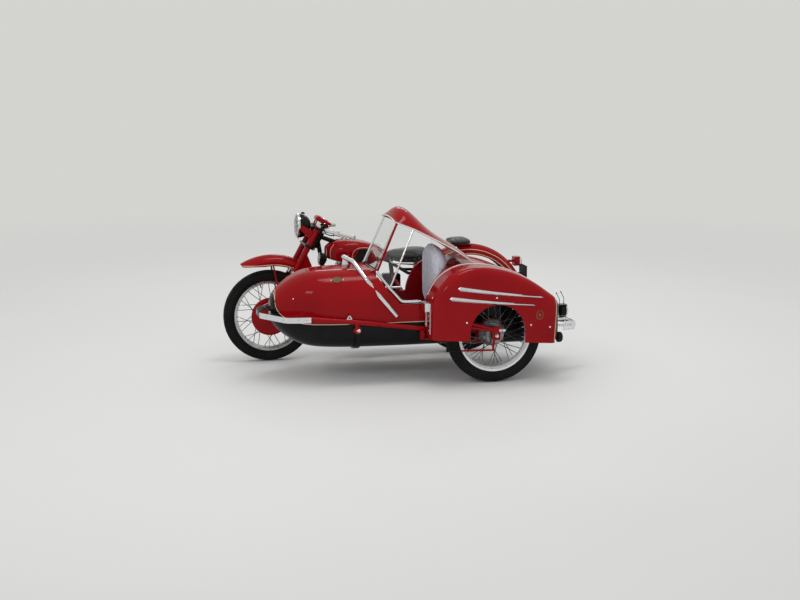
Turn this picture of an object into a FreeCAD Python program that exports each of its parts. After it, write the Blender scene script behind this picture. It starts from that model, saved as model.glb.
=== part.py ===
import FreeCAD, Part
import Sketcher
import os
from math import cos, pi, radians, sin, tan
from FreeCAD import Placement, Rotation, Vector

# Motorcycle and sidecar outfit. Millimetres, +Z up, forward is -X, the rider's right is +Y.
# The origin lies on the ground under the middle of the outfit.
# Places are given by at(x, y, z): x rearward from the front axle, y to the right
# of the motorcycle's centre plane, z upward, with the axles at axleLevel. With the
# tyres as drawn z is the height above the ground; other tyres raise or lower it all.

doc = FreeCAD.newDocument("sidecar_outfit")
sheet = doc.addObject("Spreadsheet::Sheet", "sizes")

SIZES = [
    # overall layout
    ("frontAxleX", -873), ("bikeY", 380), ("wheelBase", 1450), ("trackWidth", 1035),
    ("sideAxleX", 1376), ("bodyOffset", 600),
    # wheels, shared by all three
    ("tyreRadius", 330), ("axleLevel", 330), ("tyreHalfWidth", 45),
    ("rimRadius", 254), ("rimHalfWidth", 38),
    ("wellRadius", 228), ("spokeCount", 36), ("spokeRadius", 2.4), ("hubRadius", 30),
    ("flangeRadius", 62), ("flangeHalfGap", 34), ("axleRadius", 10), ("runningGap", 0.05),
    ("frontDrumRadius", 132), ("rearDrumRadius", 100), ("sideDrumRadius", 90), ("drumWidth", 40),
    # steering and fork
    # stations along the fork are measured up the legs from the wheel axle
    ("rake", 29), ("legOffset", 55), ("legSpread", 95), ("legRadius", 21), ("sliderRadius", 17),
    ("forkTop", 730), ("coverEnd", 355), ("headTop", 704), ("headBottom", 584),
    ("yokeThick", 16), ("yokeGap", 3), ("headRadius", 25), ("stemRadius", 13),
    # headlamp and handlebar
    ("lampRadius", 88), ("lampX", 215), ("lampZ", 972), ("lampLength", 96),
    ("barRadius", 12.7), ("barHalfSpan", 365), ("gripLength", 120), ("gripRadius", 16),
    # mudguards
    ("guardHalfWidth", 66), ("guardSkin", 3), ("guardCrown", 46), ("guardSide", 30),
    ("frontGuardGap", 122), ("rearGuardGap", 128),
    # frame
    ("mainTube", 16), ("cradleTube", 13), ("stayTube", 11), ("cradleZ", 165), ("cradleHalf", 62),
    # tank and seats
    ("tankHalfWidth", 132), ("tankTopZ", 862), ("tankBottomZ", 706),
    ("saddleTopZ", 780), ("saddleHalfWidth", 140),
    # engine
    ("crankX", 600), ("crankZ", 292), ("caseRadius", 118), ("caseHalfWidth", 72),
    ("boreX", 575), ("barrelRadius", 50), ("finHalf", 84), ("finPitch", 15), ("finThick", 4),
    ("finCount", 9), ("barrelBaseZ", 412), ("headFinCount", 5), ("rockerTopZ", 692),
    ("gearX", 800), ("gearZ", 300), ("gearRadius", 88),
    ("pipeRadius", 20), ("silencerRadius", 46),
    # sidecar body
    ("bodyHalf", 300), ("bodyBottomZ", 222), ("bodyWall", 20), ("splitZ", 425),
    ("railRadius", 16), ("fenderGap", 60), ("fenderSkin", 4), ("fenderRound", 62),
    ("archRadius", 192), ("seatBack", 1112), ("grabRadius", 15),
    ("tailLampZ", 417), ("rearBumperZ", 300), ("rearReach", 2076),
    # canopy
    ("canopySkin", 12), ("glassThick", 5), ("screenLowHalf", 220), ("screenTopHalf", 194),
    ("hingeX", 616), ("hingeZ", 746), ("hingePin", 7), ("lugSpacing", 180),
]
for row, (alias, value) in enumerate(SIZES, start=1):
    sheet.set("A%d" % row, alias)
    sheet.set("B%d" % row, str(value))
    sheet.setAlias("B%d" % row, alias)
doc.recompute()


class Size:
    # a number together with the formula that gives it from the sheet
    def __init__(self, value, text):
        self.value = float(value)
        self.text = text

    def __float__(self):
        return self.value

    def __add__(self, other):
        return combine(self, "+", other, self.value + float(other))

    def __radd__(self, other):
        return combine(other, "+", self, float(other) + self.value)

    def __sub__(self, other):
        return combine(self, "-", other, self.value - float(other))

    def __rsub__(self, other):
        return combine(other, "-", self, float(other) - self.value)

    def __mul__(self, other):
        return combine(self, "*", other, self.value * float(other))

    __rmul__ = __mul__

    def __truediv__(self, other):
        return combine(self, "/", other, self.value / float(other))

    def __neg__(self):
        return Size(-self.value, "(0 - %s)" % self.text)


def formula(item):
    return item.text if isinstance(item, Size) else repr(float(item))


def combine(first, sign, second, value):
    return Size(value, "(%s %s %s)" % (formula(first), sign, formula(second)))


class Tied:
    def __getattr__(self, alias):
        return Size(sheet.get(alias), "sizes." + alias)


class Plain:
    def __getattr__(self, alias):
        return float(sheet.get(alias))


# S gives plain numbers for shapes, T gives sizes that stay tied to the sheet
S = Plain()
T = Tied()
parts = []
X, Y, Z = Vector(1, 0, 0), Vector(0, 1, 0), Vector(0, 0, 1)
forkUp = Vector(sin(radians(S.rake)), 0, cos(radians(S.rake)))
forkBack = Vector(cos(radians(S.rake)), 0, -sin(radians(S.rake)))


def at(x, y, z):
    return Vector(S.frontAxleX + x, S.bikeY + y, z + S.tyreRadius - S.axleLevel)


def keep(label, shape):
    part = doc.addObject("Part::Feature", label)
    part.Label = label
    part.Shape = shape
    parts.append(part)
    return part


def bind(item, name, size):
    item.setExpression(name, formula(size))


def placed(item, x, y, z):
    """Ties the item's place to the sheet, in at() coordinates."""
    bind(item, "Placement.Base.x", T.frontAxleX + x)
    bind(item, "Placement.Base.y", T.bikeY + y)
    bind(item, "Placement.Base.z", T.tyreRadius - T.axleLevel + z)


def drawn(body, name, plane, points):
    """Closed sketch on one of the body's planes, every corner tied to the sheet.

    A point is (u, v), or (u, v, mu, mv) for an arc that reaches it through (mu, mv).
    """
    sketch = body.newObject("Sketcher::SketchObject", name)
    origin = [item for item in body.Origin.OriginFeatures if item.Role == plane][0]
    sketch.AttachmentSupport = (origin, "")
    sketch.MapMode = "FlatFace"
    spots = [Vector(float(p[0]), float(p[1]), 0) for p in points]
    if spots[0].distanceToPoint(spots[-1]) < 1e-6:
        points, spots = points[1:], spots[1:]
    ends = []
    through = []
    for i, point in enumerate(points):
        last, spot = spots[i - 1], spots[i]
        if len(point) == 4:
            middle = Vector(float(point[2]), float(point[3]), 0)
            turnsLeft = (middle - last).cross(spot - middle).z > 0
            arc = Part.Arc(last, middle, spot) if turnsLeft else Part.Arc(spot, middle, last)
            index = sketch.addGeometry(arc, False)
            ends.append((index, 1, 2) if turnsLeft else (index, 2, 1))
            through.append((index, middle, point))
        else:
            ends.append((sketch.addGeometry(Part.LineSegment(last, spot), False), 1, 2))
    limits = []
    ties = []
    def tie(geometry, end, u, v, spot):
        for kind, axis, size, value in (("DistanceX", -2, u, spot.x), ("DistanceY", -1, v, spot.y)):
            if isinstance(size, Size) or value != 0:
                ties.append((len(limits), size))
                limits.append(Sketcher.Constraint(kind, -1, 1, geometry, end, value))
            else:
                limits.append(Sketcher.Constraint("PointOnObject", geometry, end, axis))
    for i, (index, start, end) in enumerate(ends):
        following = ends[(i + 1) % len(ends)]
        limits.append(Sketcher.Constraint("Coincident", index, end, following[0], following[1]))
        tie(index, end, points[i][0], points[i][1], spots[i])
    for arc, middle, point in through:
        dot = sketch.addGeometry(Part.Point(middle), True)
        limits.append(Sketcher.Constraint("PointOnObject", dot, 1, arc))
        tie(dot, 1, point[2], point[3], middle)
    sketch.addConstraint(limits)
    for index, size in ties:
        if isinstance(size, Size):
            bind(sketch, "Constraints[%d]" % index, size)
    return sketch


def newBody(label):
    body = doc.addObject("PartDesign::Body", label)
    body.Label = label
    return body


TURNING = {"X": ("XZ_Plane", "H_Axis", False), "Y": ("YZ_Plane", "H_Axis", False),
           "Z": ("XZ_Plane", "V_Axis", True)}


def turning(label, place, points, axis="Y", tilt=0):
    """Body of revolution: points are (along the axis, radius); tilt turns it about +Y."""
    body = newBody(label)
    body.Placement = Placement(Vector(), Rotation(Y, tilt))
    plane, line, swapped = TURNING[axis]
    if swapped:
        points = [(p[1], p[0]) if len(p) == 2 else (p[1], p[0], p[3], p[2]) for p in points]
    sketch = drawn(body, label + "_outline", plane, points)
    turn = body.newObject("PartDesign::Revolution", label + "_turn")
    turn.Profile = sketch
    turn.ReferenceAxis = (sketch, [line])
    turn.Angle = 360
    sketch.Visibility = False
    body.Tip = turn
    placed(body, *place)
    return body


def padded(label, place, points, thickness, plane="XZ_Plane"):
    """Flat body: an outline on a plane through place, carried thickness along the plane's +axis."""
    body = newBody(label)
    sketch = drawn(body, label + "_outline", plane, points)
    pad = body.newObject("PartDesign::Pad", label + "_pad")
    pad.Profile = sketch
    bind(pad, "Length", thickness)
    pad.Reversed = plane == "XZ_Plane"
    body.Tip = pad
    placed(body, *place)
    return body


def fused(label, *items):
    whole = doc.addObject("Part::MultiFuse", label)
    whole.Label = label
    whole.Shapes = list(items)
    whole.Refine = True
    return whole


def trimmed(label, base, *tools):
    """Base with each tool object taken out of it."""
    for i, tool in enumerate(tools):
        cut = doc.addObject("Part::Cut", label + "_cut%d" % i)
        cut.Base = base
        cut.Tool = tool
        cut.Refine = True
        base = cut
    return base


def shaft(label, place, radius, length):
    """Round bar across the machine, from place towards +Y."""
    item = doc.addObject("Part::Cylinder", label)
    item.Placement = Placement(Vector(), Rotation(X, -90))
    bind(item, "Radius", radius)
    bind(item, "Height", length)
    placed(item, *place)
    return item


def block(label, place, length, width, height):
    item = doc.addObject("Part::Box", label)
    bind(item, "Length", length)
    bind(item, "Width", width)
    bind(item, "Height", height)
    placed(item, *place)
    return item


def helper(label, shape):
    item = doc.addObject("Part::Feature", label)
    item.Shape = shape
    return item


def node(label, item):
    """Counts a finished object as a piece under its plain name."""
    item.Label = label
    doc.recompute()
    parts.append(item)
    return item


def unit(vector):
    return Vector(vector).normalize()


def rod(start, end, radius):
    run = end - start
    return Part.makeCylinder(radius, run.Length, start, run)


def bar(start, end, radius, sides=6):
    run = end - start
    axis = unit(run)
    across = unit(axis.cross(Z if abs(axis.z) < 0.9 else X))
    other = axis.cross(across)
    turn = radians(360.0 / sides)
    ring = [start + across * (radius * cos(i * turn)) + other * (radius * sin(i * turn))
            for i in range(sides)]
    return Part.Face(Part.makePolygon(ring + ring[:1])).extrude(run)


def route(points, bend):
    edges = []
    last = points[0]
    for before, corner, after in zip(points, points[1:], points[2:]):
        back = unit(before - corner)
        ahead = unit(after - corner)
        half = back.getAngle(ahead) / 2
        start = corner + back * (bend / tan(half))
        end = corner + ahead * (bend / tan(half))
        middle = corner + unit(back + ahead) * (bend / sin(half) - bend)
        edges.append(Part.LineSegment(last, start).toShape())
        edges.append(Part.Arc(start, middle, end).toShape())
        last = end
    edges.append(Part.LineSegment(last, points[-1]).toShape())
    return Part.Wire(edges)


def tube(points, radius, bend):
    circle = Part.Wire(Part.makeCircle(radius, points[0], points[1] - points[0]))
    return route(points, bend).makePipeShell([circle], True, False)


def outline(points, place):
    """Closed face: each point is (u, v), or (u, v, mu, mv) for an arc through (mu, mv) to it."""
    edges = []
    spots = [place(p[0], p[1]) for p in points]
    for i, p in enumerate(points):
        last = spots[i - 1]
        if len(p) == 4:
            edges.append(Part.Arc(last, place(p[2], p[3]), spots[i]).toShape())
        elif last.distanceToPoint(spots[i]) > 1e-6:
            edges.append(Part.LineSegment(last, spots[i]).toShape())
    return Part.Face(Part.Wire(Part.__sortEdges__(edges)))


def softened(points, place):
    """Closed face of straight sides: each corner is (u, v, radius), sharp where radius is 0."""
    spots = [place(u, v) for u, v, radius in points]
    edges = []
    ends = []
    for i, (u, v, radius) in enumerate(points):
        corner = spots[i]
        if radius == 0:
            ends.append((corner, corner))
            continue
        back = unit(spots[i - 1] - corner)
        ahead = unit(spots[(i + 1) % len(spots)] - corner)
        half = back.getAngle(ahead) / 2
        start = corner + back * (radius / tan(half))
        end = corner + ahead * (radius / tan(half))
        middle = corner + unit(back + ahead) * (radius / sin(half) - radius)
        edges.append(Part.Arc(start, middle, end).toShape())
        ends.append((start, end))
    for i, (start, end) in enumerate(ends):
        last = ends[i - 1][1]
        if last.distanceToPoint(start) > 1e-6:
            edges.append(Part.LineSegment(last, start).toShape())
    return Part.Face(Part.Wire(Part.__sortEdges__(edges)))


def turned(centre, points, axis=Y):
    """Solid of revolution: points are (radius, along axis)."""
    across = X if abs(axis.x) < 0.9 else Z
    across = unit(across - axis * across.dot(axis))
    face = outline(points, lambda r, a: centre + across * r + axis * a)
    return face.revolve(centre, axis, 360)


def sideProfile(points, yLow, yHigh):
    """Side-view outline in at() coordinates, carried across from yLow to yHigh."""
    face = outline(points, lambda x, z: at(x, yLow, z))
    return face.extrude(Vector(0, yHigh - yLow, 0))


def mirrored(shape):
    return shape.mirror(at(0, 0, 0), Y)


def joined(first, *others):
    return first.multiFuse(list(others)).removeSplitter()


def largest(shape):
    return max(shape.Solids, key=lambda solid: solid.Volume)


# ---------------------------------------------------------------- wheels

def makeTyre(label, place):
    rim, reach, half = T.rimRadius, T.tyreRadius, T.tyreHalfWidth
    seat, shoulder, bead = rim - 7, reach - 12, T.rimHalfWidth - 5
    middle = (rim + shoulder) / 2
    node(label, turning(label, place, [
        (1 - bead, seat), (-bead, rim + 2), (half * -0.72, shoulder, -half, middle),
        (half * 0.72, shoulder, 0, reach), (bead, rim + 2, half, middle), (bead - 1, seat)]))


def lacedSpokes(centre, drumRadius, drumSide):
    """Straight spokes, crossing in pairs, alternately from the left and the right flange."""
    spokes = []
    count = int(S.spokeCount)
    for i in range(count):
        side = 1 if i % 2 else -1
        lean = 1 if (i // 2) % 2 else -1
        outer = 2 * pi * i / count
        root = S.flangeRadius - 6
        if side == drumSide and drumRadius > S.flangeRadius:
            root = min(drumRadius - 4, S.wellRadius - 60)
        inner = outer + lean * radians(38 if root < 80 else 22)
        start = Vector(root * cos(inner), side * (S.flangeHalfGap + 1), root * sin(inner))
        reach = S.wellRadius + 4
        end = Vector(reach * cos(outer), side * 5, reach * sin(outer))
        spokes.append(bar(centre + start, centre + end, S.spokeRadius, 5))
    return Part.makeCompound(spokes)


def makeWheel(label, place, drumRadius, drumSide):
    rim, seat, half, well = T.rimRadius, T.rimRadius - 7.3, T.rimHalfWidth, T.wellRadius
    bore = T.axleRadius + T.runningGap
    flange, gap, hub = T.flangeRadius, T.flangeHalfGap, T.hubRadius
    rimBody = turning(label + "_rim", place, [
        (-half, rim), (4 - half, rim), (6 - half, seat), (half - 6, seat), (half - 4, rim),
        (half, rim), (half, rim - 14), (14, well), (-14, well), (-half, rim - 14)])
    hubBody = turning(label + "_hub", place, [
        (-gap - 8, bore), (-gap - 8, hub), (-gap - 4, hub), (-gap - 4, flange), (-gap, flange),
        (6 - gap, hub), (gap - 6, hub), (gap, flange), (gap + 4, flange), (gap + 4, hub),
        (gap + 8, hub), (gap + 8, bore)])
    near = drumSide * (gap - 6)
    far = drumSide * (gap - 6 + T.drumWidth)
    drum = turning(label + "_drum", place, [
        (near, hub - 6), (near + drumSide * 8, drumRadius), (far - drumSide * 6, drumRadius),
        (far - drumSide * 6, drumRadius + 4), (far, drumRadius + 4), (far, drumRadius - 8),
        (near + drumSide * 14, drumRadius - 8), (near + drumSide * 6, hub - 6)])
    centre = at(*[float(value) for value in place])
    spokes = helper(label + "_spokes", lacedSpokes(centre, float(drumRadius), drumSide))
    node(label, fused(label, rimBody, hubBody, drum, spokes))


def wheels():
    # name, place of its centre, drum radius, side the drum is on
    table = [("front", (0, 0, T.axleLevel), T.frontDrumRadius, -1),
             ("rear", (T.wheelBase, 0, T.axleLevel), T.rearDrumRadius, 1),
             ("sidecar", (T.sideAxleX, -T.trackWidth, T.axleLevel), T.sideDrumRadius, 1)]
    for name, place, drumRadius, drumSide in table:
        makeTyre(name + "_tyre", place)
        makeWheel(name + "_wheel", place, drumRadius, drumSide)


# ---------------------------------------------------------------- front end

def legPoint(station, side=0):
    return at(0, side * S.legSpread, S.axleLevel) + forkUp * station


def stemPoint(station):
    return legPoint(station) + forkBack * S.legOffset


def forkLegs(lamp):
    legs = []
    axle = S.axleLevel
    for side in (-1, 1):
        cover = rod(legPoint(S.coverEnd, side), legPoint(S.forkTop, side), S.legRadius)
        slider = rod(legPoint(-32, side), legPoint(S.coverEnd, side), S.sliderRadius)
        boss = Part.makeCylinder(26, 26, legPoint(0, side) + Y * -13, Y)
        start = legPoint(0, side) - Y * 3
        blade = softened([(S.coverEnd - 60, -8, 0), (S.coverEnd - 90, 60, 14),
                          (S.coverEnd + 20, 112, 30), (S.coverEnd + 100, 96, 40),
                          (S.coverEnd + 170, 10, 0)],
                         lambda up, back: start + forkUp * up + forkBack * back)
        leg = joined(cover, slider, boss, blade.extrude(Y * 6))
        hole = Part.makeCylinder(S.axleRadius + S.runningGap, 60, at(0, side * S.legSpread - 30, axle), Y)
        legs.append(leg.cut(hole))
        bracket = sideProfile([
            (S.lampX + 12, S.lampZ - 26), (S.lampX + 18, S.lampZ + 16),
            (S.lampX + 108, S.lampZ - 36), (S.lampX + 88, S.lampZ - 104)],
            side * (S.lampRadius - 1) - 3, side * (S.lampRadius - 1) + 3)
        legs[-1] = joined(legs[-1], bracket.cut(lamp.Shape))
    legs = keep("fork_legs", Part.makeCompound(legs))
    reach = T.legSpread + 22
    node("front_axle", shaft("front_axle", (0, -reach, T.axleLevel), T.axleRadius, reach * 2))
    return legs


def barCentre():
    return stemPoint(S.headTop + S.yokeGap + S.yokeThick + 8 + S.barRadius)


def brakePlate(legs):
    """Static plate that closes the front drum, with its anchor, cam spindle and lever."""
    near = -(T.flangeHalfGap - 6 + T.drumWidth + 2)
    rim, bore = T.frontDrumRadius + 1, T.axleRadius + 0.02
    disc = turning("brake_disc", (0, 0, T.axleLevel), [
        (near, bore), (near, rim), (near - 3, rim), (near - 5, rim - 14), (near - 5, 84),
        (near - 9, 78), (near - 9, 34), (near - 13, 30), (near - 13, bore)])
    wheel = at(0, 0, S.axleLevel)
    face = float(near) - 5
    anchor = wheel + forkUp * 96 + Y * face
    pad = bar(anchor, legPoint(100, -1) + Y * (S.sliderRadius - 3), 9, 6)
    cam = bar(wheel + Vector(88, face + 2, -30), wheel + Vector(88, face - 15, -30), 9, 8)
    lever = bar(wheel + Vector(88, face - 9, -30), wheel + Vector(100, face - 9, 40), 5, 4)
    lugs = helper("brake_lugs", joined(pad, cam, lever))
    node("front_brake_plate", trimmed("front_brake_plate", fused("brake_whole", disc, lugs), legs))


def forkYokes():
    half = S.legSpread + S.legRadius + 8
    plates = []
    for station in (S.headBottom - S.yokeGap - S.yokeThick, S.headTop + S.yokeGap):
        base = legPoint(station)
        face = softened([(-30, -half, 22), (30, -half, 20), (S.legOffset + 15, -24, 13),
                         (S.legOffset + 15, 24, 13), (30, half, 20), (-30, half, 22)],
                        lambda back, across: base + forkBack * back + Y * across)
        plates.append(face.extrude(forkUp * S.yokeThick))
    low = S.headBottom - S.yokeGap - S.yokeThick - 6
    high = S.headTop + S.yokeGap + S.yokeThick + 6
    stem = rod(stemPoint(low), stemPoint(high), S.stemRadius)
    middle = barCentre()
    blocks = []
    for y in (-42, 42):
        block = joined(Part.makeCylinder(24, 22, middle + Y * (y - 11), Y),
                       bar(middle + Y * y, middle + Y * y - forkUp * (S.barRadius + 8), 14, 4))
        blocks.append(block)
    yokes = joined(stem, *plates, *blocks)
    yokes = yokes.cut(Part.makeCylinder(S.barRadius + 0.02, 200, middle - Y * 100, Y))
    for side in (-1, 1):
        yokes = yokes.cut(rod(legPoint(S.coverEnd, side), legPoint(S.forkTop + 50, side), S.legRadius))
    return keep("fork_yokes", yokes)


def guardFace(centre, radius, start):
    w, skin = S.guardHalfWidth, S.guardSkin
    edge = radius - S.guardCrown - S.guardSide
    knee = radius - S.guardCrown
    out = Vector(cos(radians(start)), 0, sin(radians(start)))
    return outline([
        (edge, -w), (knee, -w), (knee, w, radius, 0), (edge, w), (edge, w - skin),
        (knee, w - skin), (knee, -w + skin, radius - skin, 0), (edge, -w + skin)],
        lambda r, a: centre + out * r + Y * a)


def frontGuard(legs):
    centre = at(25, 0, 318)
    skin = guardFace(centre, S.tyreRadius + S.frontGuardGap, 44).revolve(centre, -Y, 76)
    tip = Part.makeBox(300, 200, 300, at(-300 + 10, -100, 690 - 300))
    skin = skin.cut(tip)
    stays = []
    w = S.guardHalfWidth
    for side in (-1, 1):
        foot = legPoint(150, side) - Y * (side * (S.sliderRadius - 2))
        stays.append(bar(at(26, side * (w - 1.5), 705), foot, 6, 4))
        wing = bar(legPoint(420, side) - Y * (side * (S.legRadius - 1)),
                   legPoint(420) + Y * (side * (w - 12)), 9, 4)
        stays.append(wing)
    keep("front_mudguard", joined(skin, *stays).cut(legs.Shape))


def headlamp():
    place = (T.lampX, 0, T.lampZ)
    r, long, tilt = T.lampRadius, T.lampLength, 2.3
    shell = turning("headlamp_shell", place, [
        (8, 0), (8, r - 3), (long * 0.35, r - 6, long * 0.15, r - 2),
        (long, 8, long * 0.83, r * 0.64), (long, 0)], "X", tilt)
    node("headlamp_shell", shell)
    node("headlamp_rim", turning("headlamp_rim", place, [
        (7.6, r - 12), (-4, r - 12), (-9, r - 4), (-4, r + 1, -8, r), (7.6, r + 1)], "X", tilt))
    node("headlamp_lens", turning("headlamp_lens", place, [
        (7, 0), (7, r - 12.4), (-4, r - 12.4), (-20, 6, -15.5, r * 0.5), (-20, 0)], "X", tilt))
    doc.recompute()
    return shell


def handlebar(yokes):
    centre = barCentre() - at(0, 0, 0)
    x, z = centre.x, centre.z
    span = S.barHalfSpan
    shapes = []
    points = [at(x, 0, z), at(x, 90, z), at(x - 25, 190, z + 2), at(x + 145, span, z - 30)]
    run = tube(points, S.barRadius, 50)
    whole = joined(run, mirrored(run))
    keep("handlebar", whole)
    inner, outer = points[2], points[3]
    way = unit(outer - inner)
    grips = []
    levers = []
    for flip in (False, True):
        grip = rod(outer - way * S.gripLength, outer + way * 4, S.gripRadius)
        grip = grip.cut(rod(outer - way * 200, outer, S.barRadius + 0.02))
        root = outer - way * (S.gripLength + 16)
        clamp = rod(root - way * 12, root + way * 12, S.barRadius + 7)
        clamp = clamp.cut(rod(root - way * 20, root + way * 20, S.barRadius + 0.02))
        blade = bar(root + Vector(-22, 0, -6), outer + Vector(-40, 0, -8), 5, 6)
        lug = bar(root + Vector(-14, 0, -4), root + Vector(-30, 0, -8), 8, 6)
        lever = joined(clamp, lug, blade)
        grips.append(mirrored(grip) if flip else grip)
        levers.append(mirrored(lever) if flip else lever)
    keep("grips", Part.makeCompound(grips))
    keep("hand_levers", Part.makeCompound(levers).cut(whole))
    pod = Part.makeBox(122, 92, 34)
    pod = pod.makeFillet(12, pod.Edges)
    pod.translate(Vector(0, -46, -34))
    pod.rotate(Vector(), Y, 31)
    pod.translate(at(356, 0, 1046))
    yokeTop = legPoint(S.headTop + S.yokeGap + S.yokeThick) - forkBack * 16
    posts = [rod(yokeTop + Y * y, at(360, y, 1026), 5) for y in (-30, 30)]
    keep("instrument_pod", joined(pod, *posts).cut(yokes.Shape))
    # brake and clutch cables, clipped under the bar from the levers to the yoke
    lever = root - at(0, 0, 0)
    bend = inner - at(0, 0, 0)
    cable = tube([at(lever.x - 30, lever.y - 2, lever.z - 12), at(lever.x - 52, lever.y - 30, lever.z - 16),
                  at(bend.x - 4, 178, bend.z - 21), at(x - 8, 104, z - 22),
                  at(x - 2, 44, z - 12)], 3.6, 24)
    cable = cable.fuse(rod(at(lever.x - 26, lever.y + 4, lever.z - 8),
                           at(lever.x - 34, lever.y - 8, lever.z - 14), 6))
    keep("control_cables", joined(cable, mirrored(cable)).cut(whole).cut(yokes.Shape)
         .cut(Part.makeCompound(levers)))


# ---------------------------------------------------------------- motorcycle frame

def frame():
    head = rod(stemPoint(S.headBottom), stemPoint(S.headTop), S.headRadius)
    top = rod(stemPoint(S.headTop - 34), at(900, 0, 690), S.mainTube)
    down = rod(stemPoint(S.headBottom + 62), at(462, 0, 300), S.mainTube)
    seatTube = rod(at(900, 0, 690), at(955, 0, 250), S.mainTube)
    half = S.cradleHalf
    low = S.cradleZ
    back = S.wheelBase
    sides = []
    for side in (-1, 1):
        y = side * half
        sides.append(tube([at(462, 0, 330), at(470, y, 250), at(520, y, low), at(900, y, low),
                           at(960, side * 88, 260), at(back - 22, side * 98, 328)],
                          S.cradleTube, 30))
        sides.append(rod(at(900, 0, 680), at(1010, side * 92, 612), S.stayTube))
        sides.append(tube([at(1010, side * 92, 612), at(back - 140, side * 98, 600),
                           at(back, side * 98, 480)], S.stayTube, 60))
        sides.append(Part.makeSphere(S.stayTube, at(1010, side * 92, 612)))
    cross = rod(at(955, -86, 255), at(955, 86, 255), S.cradleTube)
    knot = Part.makeSphere(S.mainTube + 3, at(900, 0, 690))
    shape = joined(head, top, down, seatTube, cross, knot, *sides)
    shape = shape.cut(rod(stemPoint(S.headBottom - 60), stemPoint(S.headTop + 60),
                          S.stemRadius + S.runningGap))
    units = plungers()
    shape = shape.cut(units.Shape)
    frame = keep("frame", shape)
    node("rear_axle", shaft("rear_axle", (T.wheelBase, -130, T.axleLevel), T.axleRadius, 260))
    return frame, units


def plungers():
    units = []
    hole = shaft("plunger_bore", (T.wheelBase, -140, T.axleLevel), T.axleRadius + 0.02, 280)
    for name, y in (("left", -98), ("right", 98)):
        body = turning("plunger_" + name, (T.wheelBase, y, 0), [
            (236, 0), (236, 22), (252, 22), (255, 25), (300, 25), (303, 22), (400, 22), (403, 25),
            (455, 25), (470, 20), (495, 20), (495, 0)], "Z")
        lug = shaft("plunger_lug_" + name, (T.wheelBase, y - 17, T.axleLevel), 30, 34)
        units.extend([body, lug])
    return node("plunger_units", trimmed("plunger_units", fused("plunger_whole", *units), hole))


def roundedSection(x, half, top, bottom, topRound, bottomRound, middle=0.0):
    """Closed wire across the machine: four straight sides and four corner arcs."""
    k = 1 - cos(radians(45))
    a, b = topRound, bottomRound
    p = lambda y, z: at(x, middle + y, z)
    edges = []

    def line(y1, z1, y2, z2):
        edges.append(Part.LineSegment(p(y1, z1), p(y2, z2)).toShape())

    def arc(y1, z1, my, mz, y2, z2):
        edges.append(Part.Arc(p(y1, z1), p(my, mz), p(y2, z2)).toShape())

    line(-half + a, top, half - a, top)
    arc(half - a, top, half - a * k, top - a * k, half, top - a)
    line(half, top - a, half, bottom + b)
    arc(half, bottom + b, half - b * k, bottom + b * k, half - b, bottom)
    line(half - b, bottom, -half + b, bottom)
    arc(-half + b, bottom, -half + b * k, bottom + b * k, -half, bottom + b)
    line(-half, bottom + b, -half, top - a)
    arc(-half, top - a, -half + a * k, top - a * k, -half + a, top)
    return Part.Wire(edges)


def tankAndSeats(frame):
    w, top, low = S.tankHalfWidth, S.tankTopZ, S.tankBottomZ
    # x, half width, top, bottom, top round, bottom round
    table = [(418, 52, top - 50, low + 30, 34, 24),
             (470, 96, top - 12, low + 14, 70, 24),
             (590, w, top, low - 4, 74, 22),
             (720, w - 16, top - 22, low - 6, 64, 22),
             (862, 62, top - 96, low - 2, 30, 18)]
    tank = Part.makeLoft([roundedSection(*row) for row in table], True, False)
    tunnel = rod(stemPoint(S.headTop - 34), at(900, 0, 690), S.mainTube + 6)
    tunnel = tunnel.fuse(sideProfile([(380, 880), (905, 690), (905, 600), (380, 600)], -22, 22))
    cap = turned(at(560, 0, 0), [(0, top - 8), (26, top - 8), (26, top + 8), (20, top + 14),
                                 (0, top + 14)], Z)
    tank = keep("fuel_tank", tank.cut(tunnel).fuse(cap))
    pads = []
    for name, side in (("left", -1), ("right", 1)):
        y = side * (T.tankHalfWidth - 10) - (16 if side < 0 else 0)
        pads.append(padded("knee_pad_" + name, (0, y, 0), [
            (605, 742), (760, 715, 690, 690), (745, 770), (640, 798, 700, 800)], 16))
    node("knee_pads", trimmed("knee_pads", fused("knee_pads_whole", *pads), tank))
    z = S.saddleTopZ
    seat = Part.makeLoft([roundedSection(*row) for row in [
        (862, 52, z - 14, z - 62, 22, 12), (960, 92, z - 10, z - 74, 26, 14),
        (1090, S.saddleHalfWidth, z, z - 78, 30, 16), (1196, 118, z - 6, z - 48, 22, 12)]],
        True, False)
    keep("saddle", seat.cut(frame.Shape))
    springs = []
    for side in (-1, 1):
        rings = []
        for i in range(6):
            rings.append(Part.makeTorus(19 + 1.2 * abs(i - 2.5), 4, at(1115, side * 88, 630 + 13 * i), Z))
        core = Part.makeCylinder(19, 80, at(1115, side * 88, 622), Z)
        springs.append(joined(core, *rings))
        # side bar of the saddle frame
        springs[-1] = springs[-1].fuse(
            tube([at(884, side * 34, 716), at(888, side * 84, 690), at(960, side * 98, 684),
                  at(1100, side * 96, 670)], 6, 30))
    keep("saddle_springs", Part.makeCompound(springs).cut(frame.Shape).cut(seat))
    back = S.wheelBase
    pad = Part.makeLoft([roundedSection(*row) for row in [
        (back - 115, 96, 828, 806.5, 9, 9), (back - 50, 112, 842, 806.5, 18, 10),
        (back + 20, 108, 838, 806.5, 16, 10), (back + 50, 84, 824, 806.5, 8, 8)]], True, False)
    keep("pillion_pad", pad)
    return tank


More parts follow.
